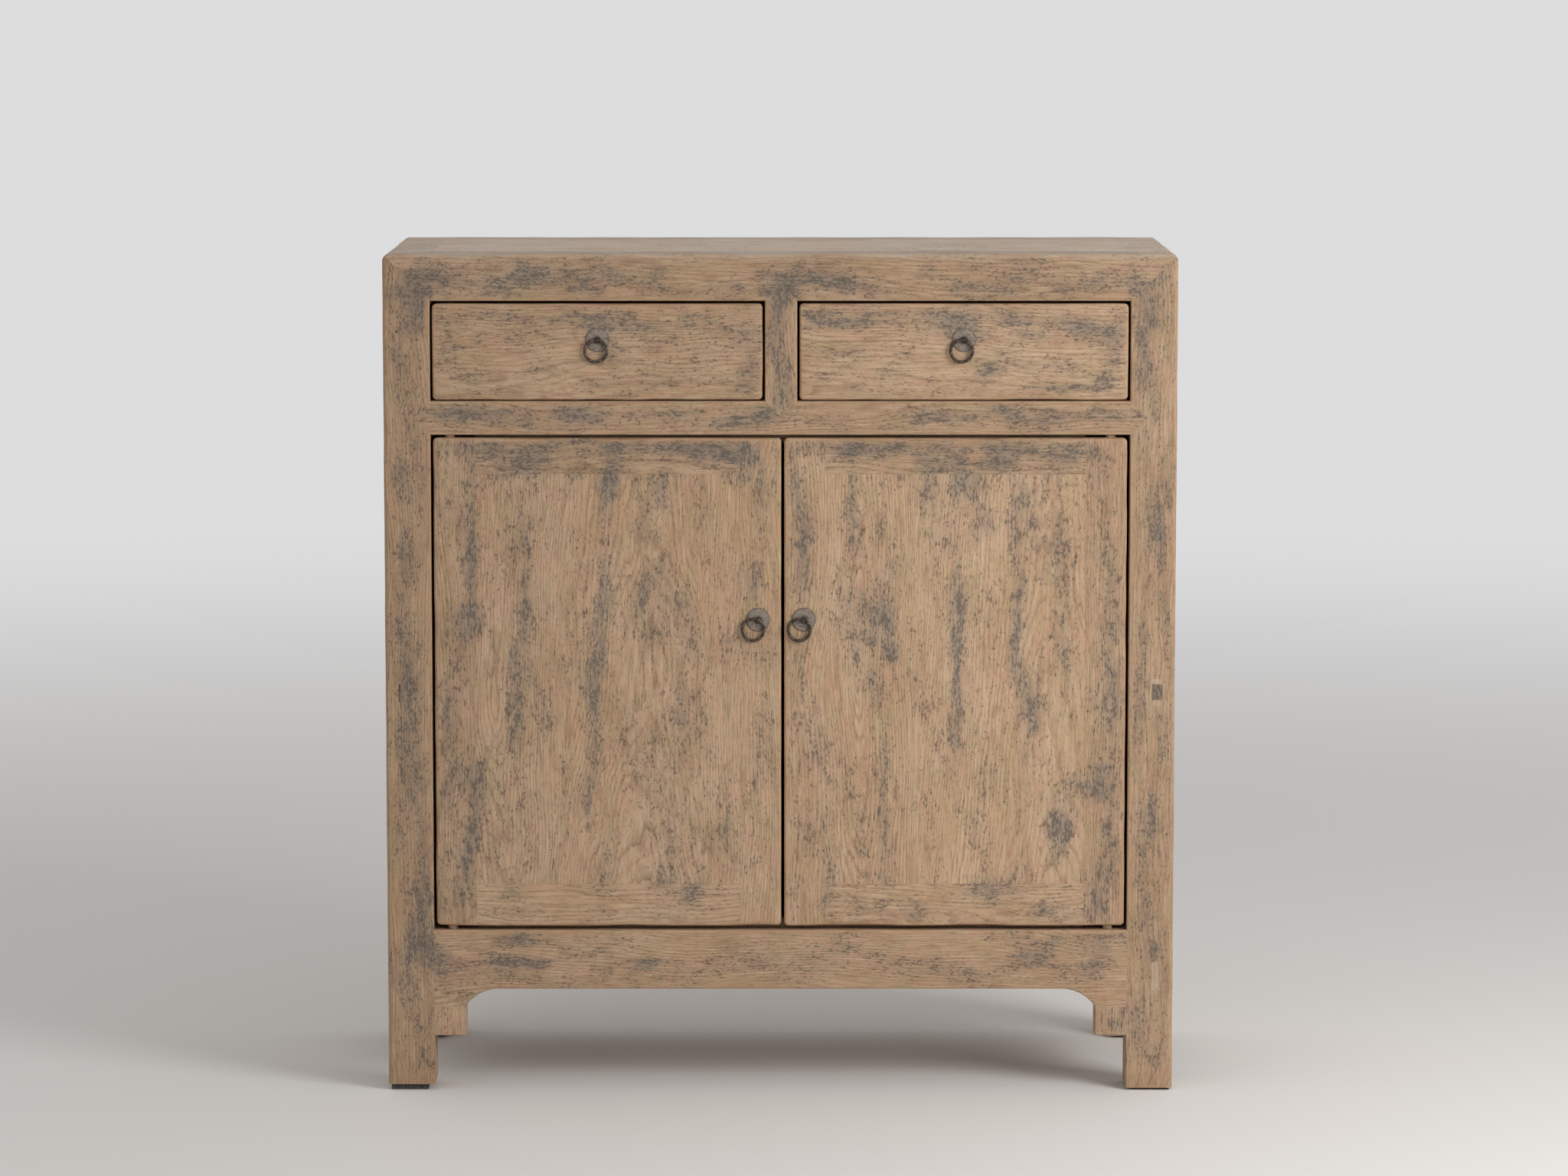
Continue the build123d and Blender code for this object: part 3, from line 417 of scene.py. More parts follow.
class Nodes:
    """Adds shader nodes to a tree, each placed to the right of the last."""

    def __init__(self, tree):
        self.tree = tree
        self.column = 0

    def add(self, kind, inputs=(), **values):
        node = self.tree.nodes.new(kind)
        node.location = (self.column * 180, 0)
        self.column += 1
        for name, value in values.items():
            setattr(node, name, value)
        for socket, value in dict(inputs).items():
            self.feed(node.inputs[socket], value)
        return node

    def feed(self, socket, value):
        if isinstance(value, bpy.types.NodeSocket):
            self.tree.links.new(value, socket)
        elif socket.type == "RGBA":
            socket.default_value = (*value[:3], 1.0)
        else:
            socket.default_value = value

    def math(self, operation, *values, clamp=False):
        node = self.add("ShaderNodeMath", enumerate(values), operation=operation, use_clamp=clamp)
        return node.outputs[0]

    def vector(self, operation, *values):
        return self.add("ShaderNodeVectorMath", enumerate(values), operation=operation).outputs["Vector"]

    def parts(self, vector):
        return self.add("ShaderNodeSeparateXYZ", {"Vector": vector}).outputs

    def joined(self, x, y, z):
        return self.add("ShaderNodeCombineXYZ", {"X": x, "Y": y, "Z": z}).outputs["Vector"]

    def noise(self, place, size, detail=2.0, roughness=0.5):
        """Soft noise whose lumps measure about size, in mm, across, deep and along the grain."""
        scaled = self.vector("MULTIPLY", place, [1.0 / s for s in size])
        node = self.add("ShaderNodeTexNoise", {"Vector": scaled, "Scale": 1.0, "Detail": detail,
                                               "Roughness": roughness})
        return node.outputs["Fac"]

    def sway(self, place, size, detail):
        """The same noise, to both sides of 0."""
        return self.math("SUBTRACT", self.noise(place, size, detail), 0.5)

    def ramp(self, value, low, high, start=0.0, end=1.0, kind="SMOOTHSTEP"):
        node = self.add("ShaderNodeMapRange", {"Value": value, "From Min": low, "From Max": high,
                                               "To Min": start, "To Max": end}, interpolation_type=kind)
        return node.outputs["Result"]

    def blend(self, share, a, b):
        """From colour a to colour b."""
        mix = self.add("ShaderNodeMix", {"Factor": share, MIX_A: a, MIX_B: b}, data_type="RGBA")
        return mix.outputs[MIX_RESULT]

    def lay(self, under, over, amount, most):
        """Lays a colour over another: its share is most where amount is 1."""
        return self.blend(self.math("MULTIPLY", amount, most), under, over)

    def carried(self):
        """The four amounts that the points of a worn piece carry."""
        kept = self.add("ShaderNodeAttribute", attribute_name="finish", attribute_type="GEOMETRY").outputs
        amount = self.add("ShaderNodeSeparateColor", {"Color": kept["Color"]}).outputs
        return amount["Red"], amount["Green"], amount["Blue"], kept["Alpha"]

    def surface(self, height, strength, depth, looks):
        """Ends a material with a shader that has these looks and a relief."""
        relief = self.add("ShaderNodeBump", {"Height": height, "Strength": strength, "Distance": depth})
        shader = self.add("ShaderNodeBsdfPrincipled", {**looks, "Normal": relief.outputs["Normal"]})
        self.add("ShaderNodeOutputMaterial", {"Surface": shader.outputs["BSDF"]})


def new_material(name):
    """A material to fill: (the material, its nodes, where a point lies on its piece, in mm)."""
    material = bpy.data.materials.new(name)
    material.use_nodes = True
    material.node_tree.nodes.clear()
    n = Nodes(material.node_tree)
    return material, n, n.vector("MULTIPLY", n.add("ShaderNodeTexCoord").outputs["Object"], [1 / MM] * 3)


def dress_solid(node, material):
    """Gives a solid that stays as it is a material."""
    for face_slot in frame["nodes"][node].material_slots:
        face_slot.material = material


# ---- washed elm ---------------------------------------------------------------

ELM_SOCKETS = (
    ("INPUT", {"Place": "Vector", "Lean across": "Float", "Lean deep": "Float", "Board": "Float",
               "Tint": "Float", "Warmth": "Float"}),
    ("OUTPUT", {"Colour": "Color", "Roughness": "Float", "Height": "Float"}),
)


def growth(n, given, own, year_width):
    """Rings round a wandering heart: (the season that the wood grew in, how much of it is early growth)."""
    place = n.parts(given["Place"])
    across = n.math("MULTIPLY_ADD", n.sway(own, (900, 900, 330), 1), 46.0,
                    n.math("MULTIPLY_ADD", place["Z"], given["Lean across"], place["X"]))
    deep = n.math("MULTIPLY_ADD", n.sway(own, (1300, 1300, 210), 1), 34.0,
                  n.math("MULTIPLY_ADD", place["Z"], given["Lean deep"], place["Y"]))
    radius = n.math("SQRT", n.math("ADD", n.math("MULTIPLY", across, across),
                                   n.math("MULTIPLY", deep, deep)))
    radius = n.math("MULTIPLY_ADD", n.sway(own, (7, 7, 46), 2), 2.6, radius)
    radius = n.math("MULTIPLY_ADD", n.sway(own, (44, 44, 230), 2), 22.0, radius)
    years = n.math("DIVIDE", radius, year_width)
    season = n.math("FRACT", years)
    year = n.add("ShaderNodeTexWhiteNoise", {"W": n.math("FLOOR", years)},
                 noise_dimensions="1D").outputs["Value"]
    early = n.math("MULTIPLY", n.ramp(season, 0.06, 0.46, 1.0, 0.0), n.ramp(season, 0.0, 0.06))
    return season, n.math("MULTIPLY", early, n.ramp(year, 0.0, 1.0, 0.35, 1.0, "LINEAR"))


def sanded(n, given, own, season, early, elm):
    """Bare wood: (its colour, fibres, open pores, blotches)."""
    fibre = n.noise(own, (2.1, 2.1, 36), 3, 0.62)
    pore = n.ramp(n.math("MULTIPLY_ADD", early, 0.10, n.noise(own, (1.6, 1.6, 8.5), 2, 0.6)), 0.54, 0.72)
    blotch = n.noise(own, (13, 13, 34), 3, 0.62)
    stain = n.math("MULTIPLY_ADD", n.noise(own, (21, 21, 46), 2), 0.5,
                   n.math("MULTIPLY", n.noise(own, (5, 5, 11), 3, 0.6), 0.5))
    mottle = n.ramp(n.noise(own, (52, 52, 140), 2), 0.36, 0.64)
    bare = n.blend(n.math("MULTIPLY_ADD", given["Warmth"], 0.5, mottle, clamp=True), elm.pale, elm.warm)
    for over, amount, most in (
            (elm.rosy, n.ramp(stain, 0.50, 0.62), 0.60), (elm.olive, n.ramp(stain, 0.50, 0.38), 0.60),
            (elm.ring, early, 0.40), (elm.ring, n.ramp(fibre, 0.44, 0.74), 0.36),
            (elm.ring, n.ramp(blotch, 0.48, 0.74), 0.42), (elm.pore, pore, 0.36)):
        bare = n.lay(bare, over, amount, most)
    dust = n.math("MULTIPLY", n.ramp(n.noise(own, (2.5, 2.5, 40), 2), 0.50, 0.72),
                  n.math("SUBTRACT", 0.46, n.math("MULTIPLY", early, 0.44)))
    chalk = n.math("MULTIPLY", n.ramp(season, 0.46, 0.56), n.ramp(season, 0.84, 0.70))
    chalk = n.math("MULTIPLY", chalk, n.ramp(n.noise(own, (30, 30, 80), 2), 0.46, 0.62, 0.0, 0.24))
    for amount in (dust, chalk):
        bare = n.blend(amount, bare, elm.lime)
    return bare, fibre, pore, blotch


def coated(n, own, bare, early, blotch, elm):
    """Bleaching, old paint, rubbing, dirt and painted shade over bare wood: (the colour, paint flecks,
    rubbing).
    """
    paint, rubbed, dirt, unbleached = n.carried()
    bare = n.lay(bare, elm.bleached, n.math("SUBTRACT", 1.0, unbleached), 0.9)
    clumps = n.noise(own, (8, 8, 19), 4, 0.66)
    uneven = n.math("SUBTRACT", clumps, 0.5)
    flecks = n.math("MULTIPLY_ADD", n.noise(own, (2.4, 2.4, 4.9), 2, 0.60), 0.72,
                    n.math("MULTIPLY", clumps, 0.28))
    thick = n.math("ADD", paint, n.math("MULTIPLY", uneven, n.ramp(paint, 0.0, 0.4, 0.5, 1.6)), clamp=True)
    level = n.ramp(thick, 0.0, 1.0, 0.582, 0.438, "LINEAR")
    field = n.math("MULTIPLY_ADD", early, 0.030, flecks)
    cover = n.math("DIVIDE", n.math("SUBTRACT", field, level), 0.110, clamp=True)
    cover = n.math("MULTIPLY", cover, n.ramp(paint, 0.0, 0.08))
    veil = n.math("MULTIPLY_ADD", uneven, 0.9, paint)
    streaks = n.ramp(n.noise(own, (1.5, 1.5, 24), 3, 0.6), 0.36, 0.64, 0.80, 0.52)
    haze = n.math("MULTIPLY", n.ramp(veil, 0.02, 0.96), streaks)
    coat = n.blend(haze, bare, n.blend(n.ramp(thick, 0.20, 0.75), elm.stain, elm.film))
    speck = n.blend(n.ramp(thick, 0.35, 0.95), elm.soil, elm.paint)
    rub = n.math("MULTIPLY", rubbed, n.ramp(blotch, 0.34, 0.60, 0.35, 1.0))
    # The fourth carried amount darkens the wood: dirt, and painted shade beside the gaps and on the door
    # pivots.
    dirt_and_shade_share = n.math("MULTIPLY", dirt, n.ramp(clumps, 0.35, 0.60, 0.30, 1.0))
    for over, amount, most in ((speck, cover, 0.70), (elm.worn, rub, 0.65), (elm.grime_and_shade, dirt_and_shade_share, 0.75)):
        coat = n.lay(coat, over, amount, most)
    return coat, flecks, rub


def washed_elm():
    """The node group that every wooden piece shares: sawn rings, pores, paint residue and rubbed edges."""
    name = "Washed elm"
    if name in bpy.data.node_groups:
        return bpy.data.node_groups[name]
    tree = bpy.data.node_groups.new(name, "ShaderNodeTree")
    for in_out, sockets in ELM_SOCKETS:
        for socket, kind in sockets.items():
            tree.interface.new_socket(socket, in_out=in_out, socket_type="NodeSocket" + kind)
    n = Nodes(tree)
    elm = settings().elm
    given = n.add("NodeGroupInput").outputs
    own = n.vector("MULTIPLY_ADD", n.joined(*[given["Board"]] * 3), (37.3, 91.7, 253.1), given["Place"])
    season, early = growth(n, given, own, elm.ring_width / MM)
    bare, fibre, pore, blotch = sanded(n, given, own, season, early, elm)
    coat, flecks, rub = coated(n, own, bare, early, blotch, elm)
    lit = n.math("MULTIPLY_ADD", given["Tint"], 0.8, 1.0)
    toned = n.add("ShaderNodeVectorMath", {0: coat, "Scale": lit}, operation="SCALE").outputs["Vector"]
    rough = n.math("MULTIPLY_ADD", rub, -0.16, n.math("MULTIPLY_ADD", fibre, 0.14, 0.70))
    height = n.math("MULTIPLY_ADD", fibre, 0.70, 0.4)
    for amount, rise in ((early, -0.40), (pore, -0.50), (flecks, -0.8)):
        height = n.math("MULTIPLY_ADD", amount, rise, height)
    n.add("NodeGroupOutput", {"Colour": toned, "Roughness": rough, "Height": height})
    return tree


def elm_material(name, sawn, board):
    """One board's own elm: the shared group, fed with this board's grain and place in the tree."""
    material, n, where = new_material(name)
    part = n.parts(where)
    grain = sawn.grain.upper()
    turned = n.joined(*[part[axis] for axis in "XYZ" if axis != grain], part[grain])
    group = n.add("ShaderNodeGroup", {
        "Place": n.vector("SUBTRACT", turned, (*sawn.heart, 0)), "Lean across": sawn.lean[0],
        "Lean deep": sawn.lean[1], "Board": board, "Tint": sawn.tint, "Warmth": sawn.warm,
    }, node_tree=washed_elm()).outputs
    n.surface(group["Height"], 0.58, settings().elm.ring_depth, {
        "Base Color": group["Colour"], "Roughness": group["Roughness"], "Specular IOR Level": 0.42})
    return material


# ---- forms ----------------------------------------------------------------------

def smooth(value, low, high):
    """0 at low, 1 at high, eased between."""
    t = min(1.0, max(0.0, (value - low) / (high - low)))
    return t * t * (3 - 2 * t)


def lumps(place, size, seed=0.0):
    """Soft noise from 0 to 1 with lumps of about size."""
    return 0.5 + 0.5 * noise.noise(place / size + Vector((seed, seed * 0.7, -seed)))


def shade(form, angle):
    """Shades a form smooth across every edge that turns by less than an angle, in degrees."""
    for face in form.faces:
        face.smooth = True
    for edge in form.edges:
        edge.smooth = edge.calc_face_angle(0) < math.radians(angle)


def cut_through(form, k, at):
    """Cuts a form along the plane where coordinate k is at."""
    point, normal = [0, 0, 0], [0, 0, 0]
    point[k] = at
    normal[k] = 1
    bmesh.ops.bisect_plane(form, geom=form.verts[:] + form.edges[:] + form.faces[:], dist=0.01 * MM,
                           plane_co=point, plane_no=normal)


def add_object(name, data):
    """Puts a mesh, a lamp or a camera in the scene."""
    made = bpy.data.objects.new(name, data)
    bpy.context.scene.collection.objects.link(made)
    return made


def mesh_from(form, name):
    mesh = bpy.data.meshes.new(name)
    form.to_mesh(mesh)
    form.free()
    return mesh


# ---- worn boards ----------------------------------------------------------------

def body_of(node):
    """The body that a board moves with."""
    bodies = ("door_left", "door_right", "drawer_left", "drawer_right")
    return next((body for body in bodies if node.startswith(body)), "carcass")


def outline(node):
    """The box whose edges this node's wear follows: its door, its drawer front or the whole case, which
    reaches below the floor, as nothing wears the feet's ends."""
    body = body_of(node)
    if body.startswith("door"):
        hinge_low, hinge_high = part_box(body + "_hinge_stile")
        lock_low, lock_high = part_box(body + "_lock_stile")
        return (Vector((min(hinge_low.x, lock_low.x), lock_low.y, lock_low.z)),
                Vector((max(hinge_high.x, lock_high.x), lock_high.y, lock_high.z)))
    if body.startswith("drawer"):
        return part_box(node)
    return Vector((-SIDE, FRONT, -0.2)), Vector((SIDE, BACK, TOP))


def openings():
    """The rectangles (low x, low z, high x, high z) that the case's front is cut out around: drawers and
    doors with the gaps round them, and the two steps of the apron's curve."""
    cut = []
    for drawer in ("drawer_left_front", "drawer_right_front"):
        low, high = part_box(drawer)
        cut.append((low.x - 2.6 * MM, low.z - 1 * MM, high.x + 2.6 * MM, high.z + 3 * MM))
    low, high = outline("door_left_panel")
    right = outline("door_right_panel")[1]
    cut.append((low.x - 3 * MM, low.z - 5 * MM, right.x + 3 * MM, high.z + 3.5 * MM))
    low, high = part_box("apron_heads")
    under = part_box("bottom_rail_front")[0].z
    cut.append((low.x + 74 * MM, -1.0, high.x - 74 * MM, under + 22 * MM))
    cut.append((low.x + 37 * MM, -1.0, high.x - 37 * MM, high.z - 4 * MM))
    return cut


def residue(x, z, patches):
    """How much old paint the front keeps at x, z (in mm)."""
    shift = noise.noise_vector(Vector((x / 34, 0.0, z / 34)))
    fine = noise.noise_vector(Vector((x / 11, 5.0, z / 11)))
    amount = 0.0
    for px, pz, wide, high, strength, *lean in patches:
        dz = z - pz
        dx = x - px - sum(lean) * dz
        dx += shift.x * 0.55 * wide + fine.x * 0.30 * wide + shift.y * 3
        dz += shift.z * 0.35 * high + fine.z * 0.25 * high
        reach = math.sqrt((dx / wide) ** 2 + (dz / high) ** 2)
        amount += (1 - amount) * strength * (1.0 - smooth(reach, 0.1, 1.7))
    return amount


def elsewhere(place, face):
    """Old paint on the faces that don't look out over the front."""
    most, stretch = {"side": (0.62, Vector((1, place.y * 26, place.z * 5))),
                     "top": (0.34, Vector((place.x * 7, place.y * 22, 9))),
                     "back": (0.45, Vector((place.x * 20, 4, place.z * 5)))}[face]
    patch = noise.noise(stretch) + 0.5 * noise.noise(stretch * 2.7)
    return most * smooth(patch, -0.05, 0.75)


class Board:
    """What all points of a worn board share."""

    def __init__(self, node, grain):
        low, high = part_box(node)
        self.low, self.high = outline(node)
        self.of_case = body_of(node) == "carcass"
        self.cut = openings() if self.of_case else []
        self.along = "xyz".index(grain)
        self.knocks = KNOCKS.get(node, [])
        self.seam = GLUED.get(node)
        self.wear = settings().wear
        self.speckle = settings().elm.speckle
        self.patches = [p for p in RESIDUE if low.x / MM - 60 < p[0] < high.x / MM + 60
                        and low.z / MM - 90 < p[1] < high.z / MM + 90]
        self.turning = [joint["pos_m"] for joint in frame["joints"] if joint["name"].endswith("_hinge")]


class Spot:
    """One point of a worn board: how near it is to the faces and edges that wear works from."""

    def __init__(self, board, at):
        self.board = board
        self.at = at
        self.gaps = [min(at[k] - board.low[k], board.high[k] - at[k]) for k in range(3)]
        if board.of_case:
            self.gaps[2] = TOP - at.z
        self.to_face, self.to_corner, _ = sorted(self.gaps)
        self.on_front = 1 - smooth(at.y - board.low.y, 3 * MM, 9 * MM)
        self.cloudy = lumps(at, 0.05, 41.0)
        self.to_edge = self.to_corner
        if at.y - FRONT < SKIN:
            for x0, z0, x1, z1 in board.cut:
                outside = max(x0 - at.x, at.x - x1, z0 - at.z, at.z - z1)
                self.to_edge = min(self.to_edge, abs(outside))

    def moved(self):
        """Where it ends up: hand planing leaves dips, and hands and feet have rounded the edges."""
        board, at = self.board, self.at
        wear = board.wear
        to = at.copy()
        loss = 0.0
        if self.to_corner < ROUNDED:
            loss = wear.edge_loss * smooth(lumps(at, 0.06, 17.0), 0.35, 0.85)
            loss *= (1 - self.to_face / ROUNDED) * (1 - self.to_corner / ROUNDED)
        turns = any(math.hypot(at.x - x, at.y - y) < TURNING for x, y, _ in board.turning)
        for k, gap in enumerate(self.gaps):
            if gap < DIPPED and not turns:
                inward = 1 if at[k] - board.low[k] < board.high[k] - at[k] else -1
                dip = wear.unevenness * lumps(at, 0.11, 11.0 + k) * (1 - gap / DIPPED)
                to[k] += inward * (dip + loss)
        if self.on_front and board.of_case and self.to_edge < RIM and self.to_corner > ROUNDED:
            to.y += (1 - self.to_edge / RIM) * 0.5 * MM * lumps(at, 0.05, 23.0)
        return to

    def paint(self):
        """How much old paint is left."""
        board, at = self.board, self.at
        drawn = at.copy()
        drawn[0 if board.along == 0 else 2] /= 2.6
        spread = smooth(lumps(drawn, 0.034, 31.0), 0.30, 0.80) * (1.6 if board.of_case else 1.1)
        specks = board.speckle * spread
        if self.on_front > 0:
            patch = residue(at.x / MM, at.z / MM, board.patches)
            return (patch + (1 - patch) * specks) * self.on_front
        if not board.of_case:
            return 0.0
        if abs(at.x) > SIDE - SKIN:
            return max(elsewhere(at, "side"), specks)
        if at.z > TOP - SKIN:
            return max(elsewhere(at, "top"), specks * 0.6)
        return elsewhere(at, "back") if at.y > BACK - SKIN else 0.0

    def shares(self):
        """Paint, rubbing, dirt with painted shade, and bleaching, each from 0 to 1."""
        board, at = self.board, self.at
        broken = lumps(at, 0.045, 3.0) * 0.6 + lumps(at, 0.013, 7.0) * 0.4
        rubbed = 1 - smooth(self.to_face, 4 * MM, 12 * MM)
        rubbed *= math.exp(-(self.to_edge / board.wear.edge_width) ** 2) * smooth(broken, 0.25, 0.62)
        # Painted shade, partly dirt: darker within a few cm of the gaps round doors and drawers and of the
        # case's openings, more on doors and drawers.
        dirt = (0.22 if board.of_case else 0.34) * math.exp(-self.to_edge / (16 * MM))
        dirt *= self.cloudy * self.on_front
        bleach = 0.0
        if board.of_case:
            at_feet = 1 - smooth(at.z, 22 * MM, 30 * MM)
            rubbed = max(rubbed, 0.55 * at_feet * smooth(broken, 0.1, 0.5))
            # Darker over the lowest 30 mm, towards the floor.
            dirt = max(dirt, 0.4 * (1 - smooth(at.z, 0.0, 30 * MM)) * self.cloudy)
            bleach = (1 - smooth(TOP - at.z, 0.3 * MM, 7 * MM)) * (0.45 + 0.55 * lumps(at, 0.07, 47.0))
        # Points above or below the lock stile, the hinge stile's pivots in the gaps, are darkened in full:
        # painted shade.
        elif not board.low.z - 1 * MM < at.z < board.high.z + 1 * MM:
            dirt = 1.0
        return self.paint() * (1 - 0.85 * rubbed), rubbed, dirt, bleach

    def aged(self):
        """(where it ends up, what it carries: paint, rubbing, dirt and what isn't bleached)."""
        board, at = self.board, self.at
        to = self.moved()
        paint, rubbed, dirt, bleach = self.shares()
        if board.seam:
            axis, seam = board.seam
            if abs(at[axis] - seam * MM) < 0.1 * MM and TOP - at.z < 1 * MM:
                to.z -= SEAM_DEPTH
                dirt = 0.6 * self.cloudy + 0.2
        for x0, z0, x1, z1, depth, *shares in board.knocks:
            inside = x0 - 0.1 < at.x / MM < x1 + 0.1 and z0 - 0.1 < at.z / MM < z1 + 0.1
            if inside and self.on_front > 0.9:
                to.y += depth * MM
                paint, rubbed, dirt, bleach = shares
        return to, (paint, rubbed, dirt, 1 - bleach)


def open_seam(node, form):
    """Takes out the faces that glued boards share, so that they are one form."""
    if node in GLUED:
        axis, seam = GLUED[node]
        glued = [f for f in form.faces if all(abs(v.co[axis] - seam * MM) < 0.01 * MM for v in f.verts)]
        bmesh.ops.delete(form, geom=glued, context="FACES_ONLY")


def fill_out_curve(node, form):
    """Lifts the underside of the apron beside its heads."""
    if node != "bottom_rail_front":
        return
    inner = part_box("apron_heads")[1].x - 36 * MM
    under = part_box(node)[0].z + 25 * MM
    span = CURVE_END - CURVE_START
    for side in (-1, 1):
        for i in range(1, CURVE_CUTS):
            cut_through(form, 0, side * (inner - (CURVE_START + span * i / CURVE_CUTS) * MM))
    for vert in form.verts:
        along = ((inner - abs(vert.co.x)) / MM - CURVE_START) / span
        if 0 < along < 1 and vert.co.z < under:
            vert.co.z += CURVE_RISE * MM * math.sin(math.pi * along)


def cuts_across(node):
    """Where a board is cut, for each axis: a grid, finer on the front, and lines beside the outline's
    edges, the planks, the seam and the knocks."""
    low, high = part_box(node)
    step = settings().wear.mesh_step * (1 if low.y < FRONT + 5 * MM else 2)
    places = [set(), set(), set()]
    for k, (near, far) in enumerate(zip(*outline(node))):
        places[k].update(i * step for i in range(math.ceil(low[k] / step), math.floor(high[k] / step) + 1))
        for beside in (3.2 * MM, 6.0 * MM):
            places[k].update((near + beside, far - beside))
    if node in PLANKS:
        axis, planks = PLANKS[node]
        places["xyz".index(axis)].update(start * MM for start, _ in planks)
    if node in GLUED:
        axis, seam = GLUED[node]
        places[axis].update((seam + d) * MM for d in (-0.6, 0, 0.6))
    for x0, z0, x1, z1, *_ in KNOCKS.get(node, []):
        places[0].update(x * MM for x in (x0 - 0.5, x0, x1, x1 + 0.5))
        places[2].update(z * MM for z in (z0 - 0.5, z0, z1, z1 + 0.5))
    return [[at for at in sorted(places[k]) if low[k] + 0.3 * MM < at < high[k] - 0.3 * MM]
            for k in range(3)]


def fill_hairlines(node, form):
    """Widens the showing field of a flush panel until dust all but fills the gap round it."""
    if node not in FLUSH_PANELS:
        return
    axis, way, filled = FLUSH_PANELS[node]
    face = max(v.co[axis] * way for v in form.verts)
    field = [v for v in form.verts if v.co[axis] * way > face - 0.02 * MM]
    for k in (k for k in range(3) if k != axis):
        low = min(v.co[k] for v in field)
        high = max(v.co[k] for v in field)
        for vert in field:
            if vert.co[k] < low + 0.02 * MM:
                vert.co[k] -= filled * MM
            elif vert.co[k] > high - 0.02 * MM:
                vert.co[k] += filled * MM


def worn_board(node, grain):
    """Copies a board, gives it enough faces, dips and rounds it, and records paint, rubbing, and dirt with
    painted shade.
    """
    form = bmesh.new()
    form.from_mesh(frame["nodes"][node].data)
    bmesh.ops.remove_doubles(form, verts=form.verts, dist=0.002 * MM)
    open_seam(node, form)
    bmesh.ops.dissolve_limit(form, angle_limit=math.radians(0.4), verts=form.verts, edges=form.edges)
    fill_out_curve(node, form)
    for k, cuts in enumerate(cuts_across(node)):
        for at in cuts:
            cut_through(form, k, at)
    if node in PLANKS:
        axis, planks = PLANKS[node]
        for face in form.faces:
            at = face.calc_center_median()["xyz".index(axis)] / MM
            face.material_index = max(i for i, (start, _) in enumerate(planks) if start <= at or i == 0)
    shade(form, 32)
    fill_hairlines(node, form)
    finish = form.verts.layers.float_color.new("finish")
    noise.seed_set(WANDER_SEED)
    board = Board(node, grain)
    for vert in form.verts:
        vert.co, vert[finish] = Spot(board, vert.co.copy()).aged()
    return add_object("worn_" + node, mesh_from(form, node))


def lay_board(node):
    """Makes one worn board, with its own elm, and sets it in place of the plain one."""
    body = body_of(node)
    planks = [sawn for _, sawn in PLANKS[node][1]] if node in PLANKS else [BOARDS[node]]
    board = worn_board(node, planks[0].grain)
    board.modifiers.new("Even shading", "WEIGHTED_NORMAL").keep_sharp = True
    for i, sawn in enumerate(planks):
        number = WORN.index(node) * NUMBERS_APART + i
        board.data.materials.append(elm_material(f"Elm {node} {i + 1}", sawn, number))
    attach(board, body)
    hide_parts(node)


# ---- iron ------------------------------------------------------------------------

# Where a ring's middle line runs, from its middle.
RING_REACH = 13.4 * MM

# A plate from its hole over its rim to its back: (distance from the middle in mm, height as a share).
PLATE_PROFILE = [(2.9, 0.0), (2.9, 0.80), (3.6, 0.96), (6.0, 0.98), (9.0, 0.93), (11.6, 0.84), (13.2, 0.74),
                 (14.1, 0.62), (14.6, 0.42), (14.75, 0.2), (14.6, 0.0)]
PLATE_RIM = 14.75

# The strip that a split pin is bent from, and its corners as shares of half its width and thickness.
STRIP, STRIP_WIDE = 1.75 * MM, 2.5 * MM
STRIP_CORNERS = ((-1, -0.55), (-0.82, -1), (0.82, -1), (1, -0.55), (1, 0.55), (0.82, 1), (-0.82, 1),
                 (-1, 0.55))
EYE = 3.45 * MM  # from the eye's middle to the strip's
EYE_CUTS = 28
LEG = 0.72 * MM  # from the pin's middle to a leg's
LEG_HALF, CLENCHED_HALF = 0.66 * MM, 0.55 * MM  # half the thickness of a leg and of its end


def iron_material(name, washed):
    """Forged iron: dark oxide in the hollows, rubbed where it stands proud. Plates are washed pale, with
    painted shade at their rims and stain with painted shade round the pin.
    """
    iron = settings().iron
    material, n, where = new_material(name)
    rust = n.noise(where, (6, 6, 6), 3, 0.6)
    share = n.math("MULTIPLY_ADD", n.noise(where, (0.8, 0.8, 0.8), 4, 0.65), 0.5,
                   n.math("MULTIPLY", n.noise(where, (3.4, 3.4, 3.4), 2, 0.5), 0.5))
    if washed:
        tone = n.blend(n.ramp(share, 0.36, 0.54), iron.stained_and_shaded, iron.washed)
        tone = n.lay(tone, iron.rust, n.ramp(rust, 0.50, 0.70), 0.45)
        # Painted shade at the plates' rims and round the pin, carried by the plate's points.
        tone = n.lay(tone, iron.stained_and_shaded, n.carried()[0], 0.85)
    else:
        tone = n.blend(n.ramp(share, 0.46, 0.66), iron.dark, iron.bright)
        tone = n.lay(tone, iron.rust, n.ramp(rust, 0.46, 0.64), 0.55)
    n.surface(share, 0.8, 0.35 * MM, {
        "Base Color": tone, "Roughness": n.ramp(share, 0.35, 0.65, 0.80, 0.66 if washed else 0.50),
        "Metallic": 0.10 if washed else 0.45, "Specular IOR Level": 0.4})
    return material


def new_piece(name, form, material, rounded, body, slot, *nodes):
    """Turns a bmesh into a piece that rides on a body and stands for CAD nodes."""
    bmesh.ops.recalc_face_normals(form, faces=form.faces)
    shade(form, rounded)
    piece = add_object(name, mesh_from(form, name))
    piece.data.materials.append(material)
    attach(piece, body)
    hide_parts(*nodes)


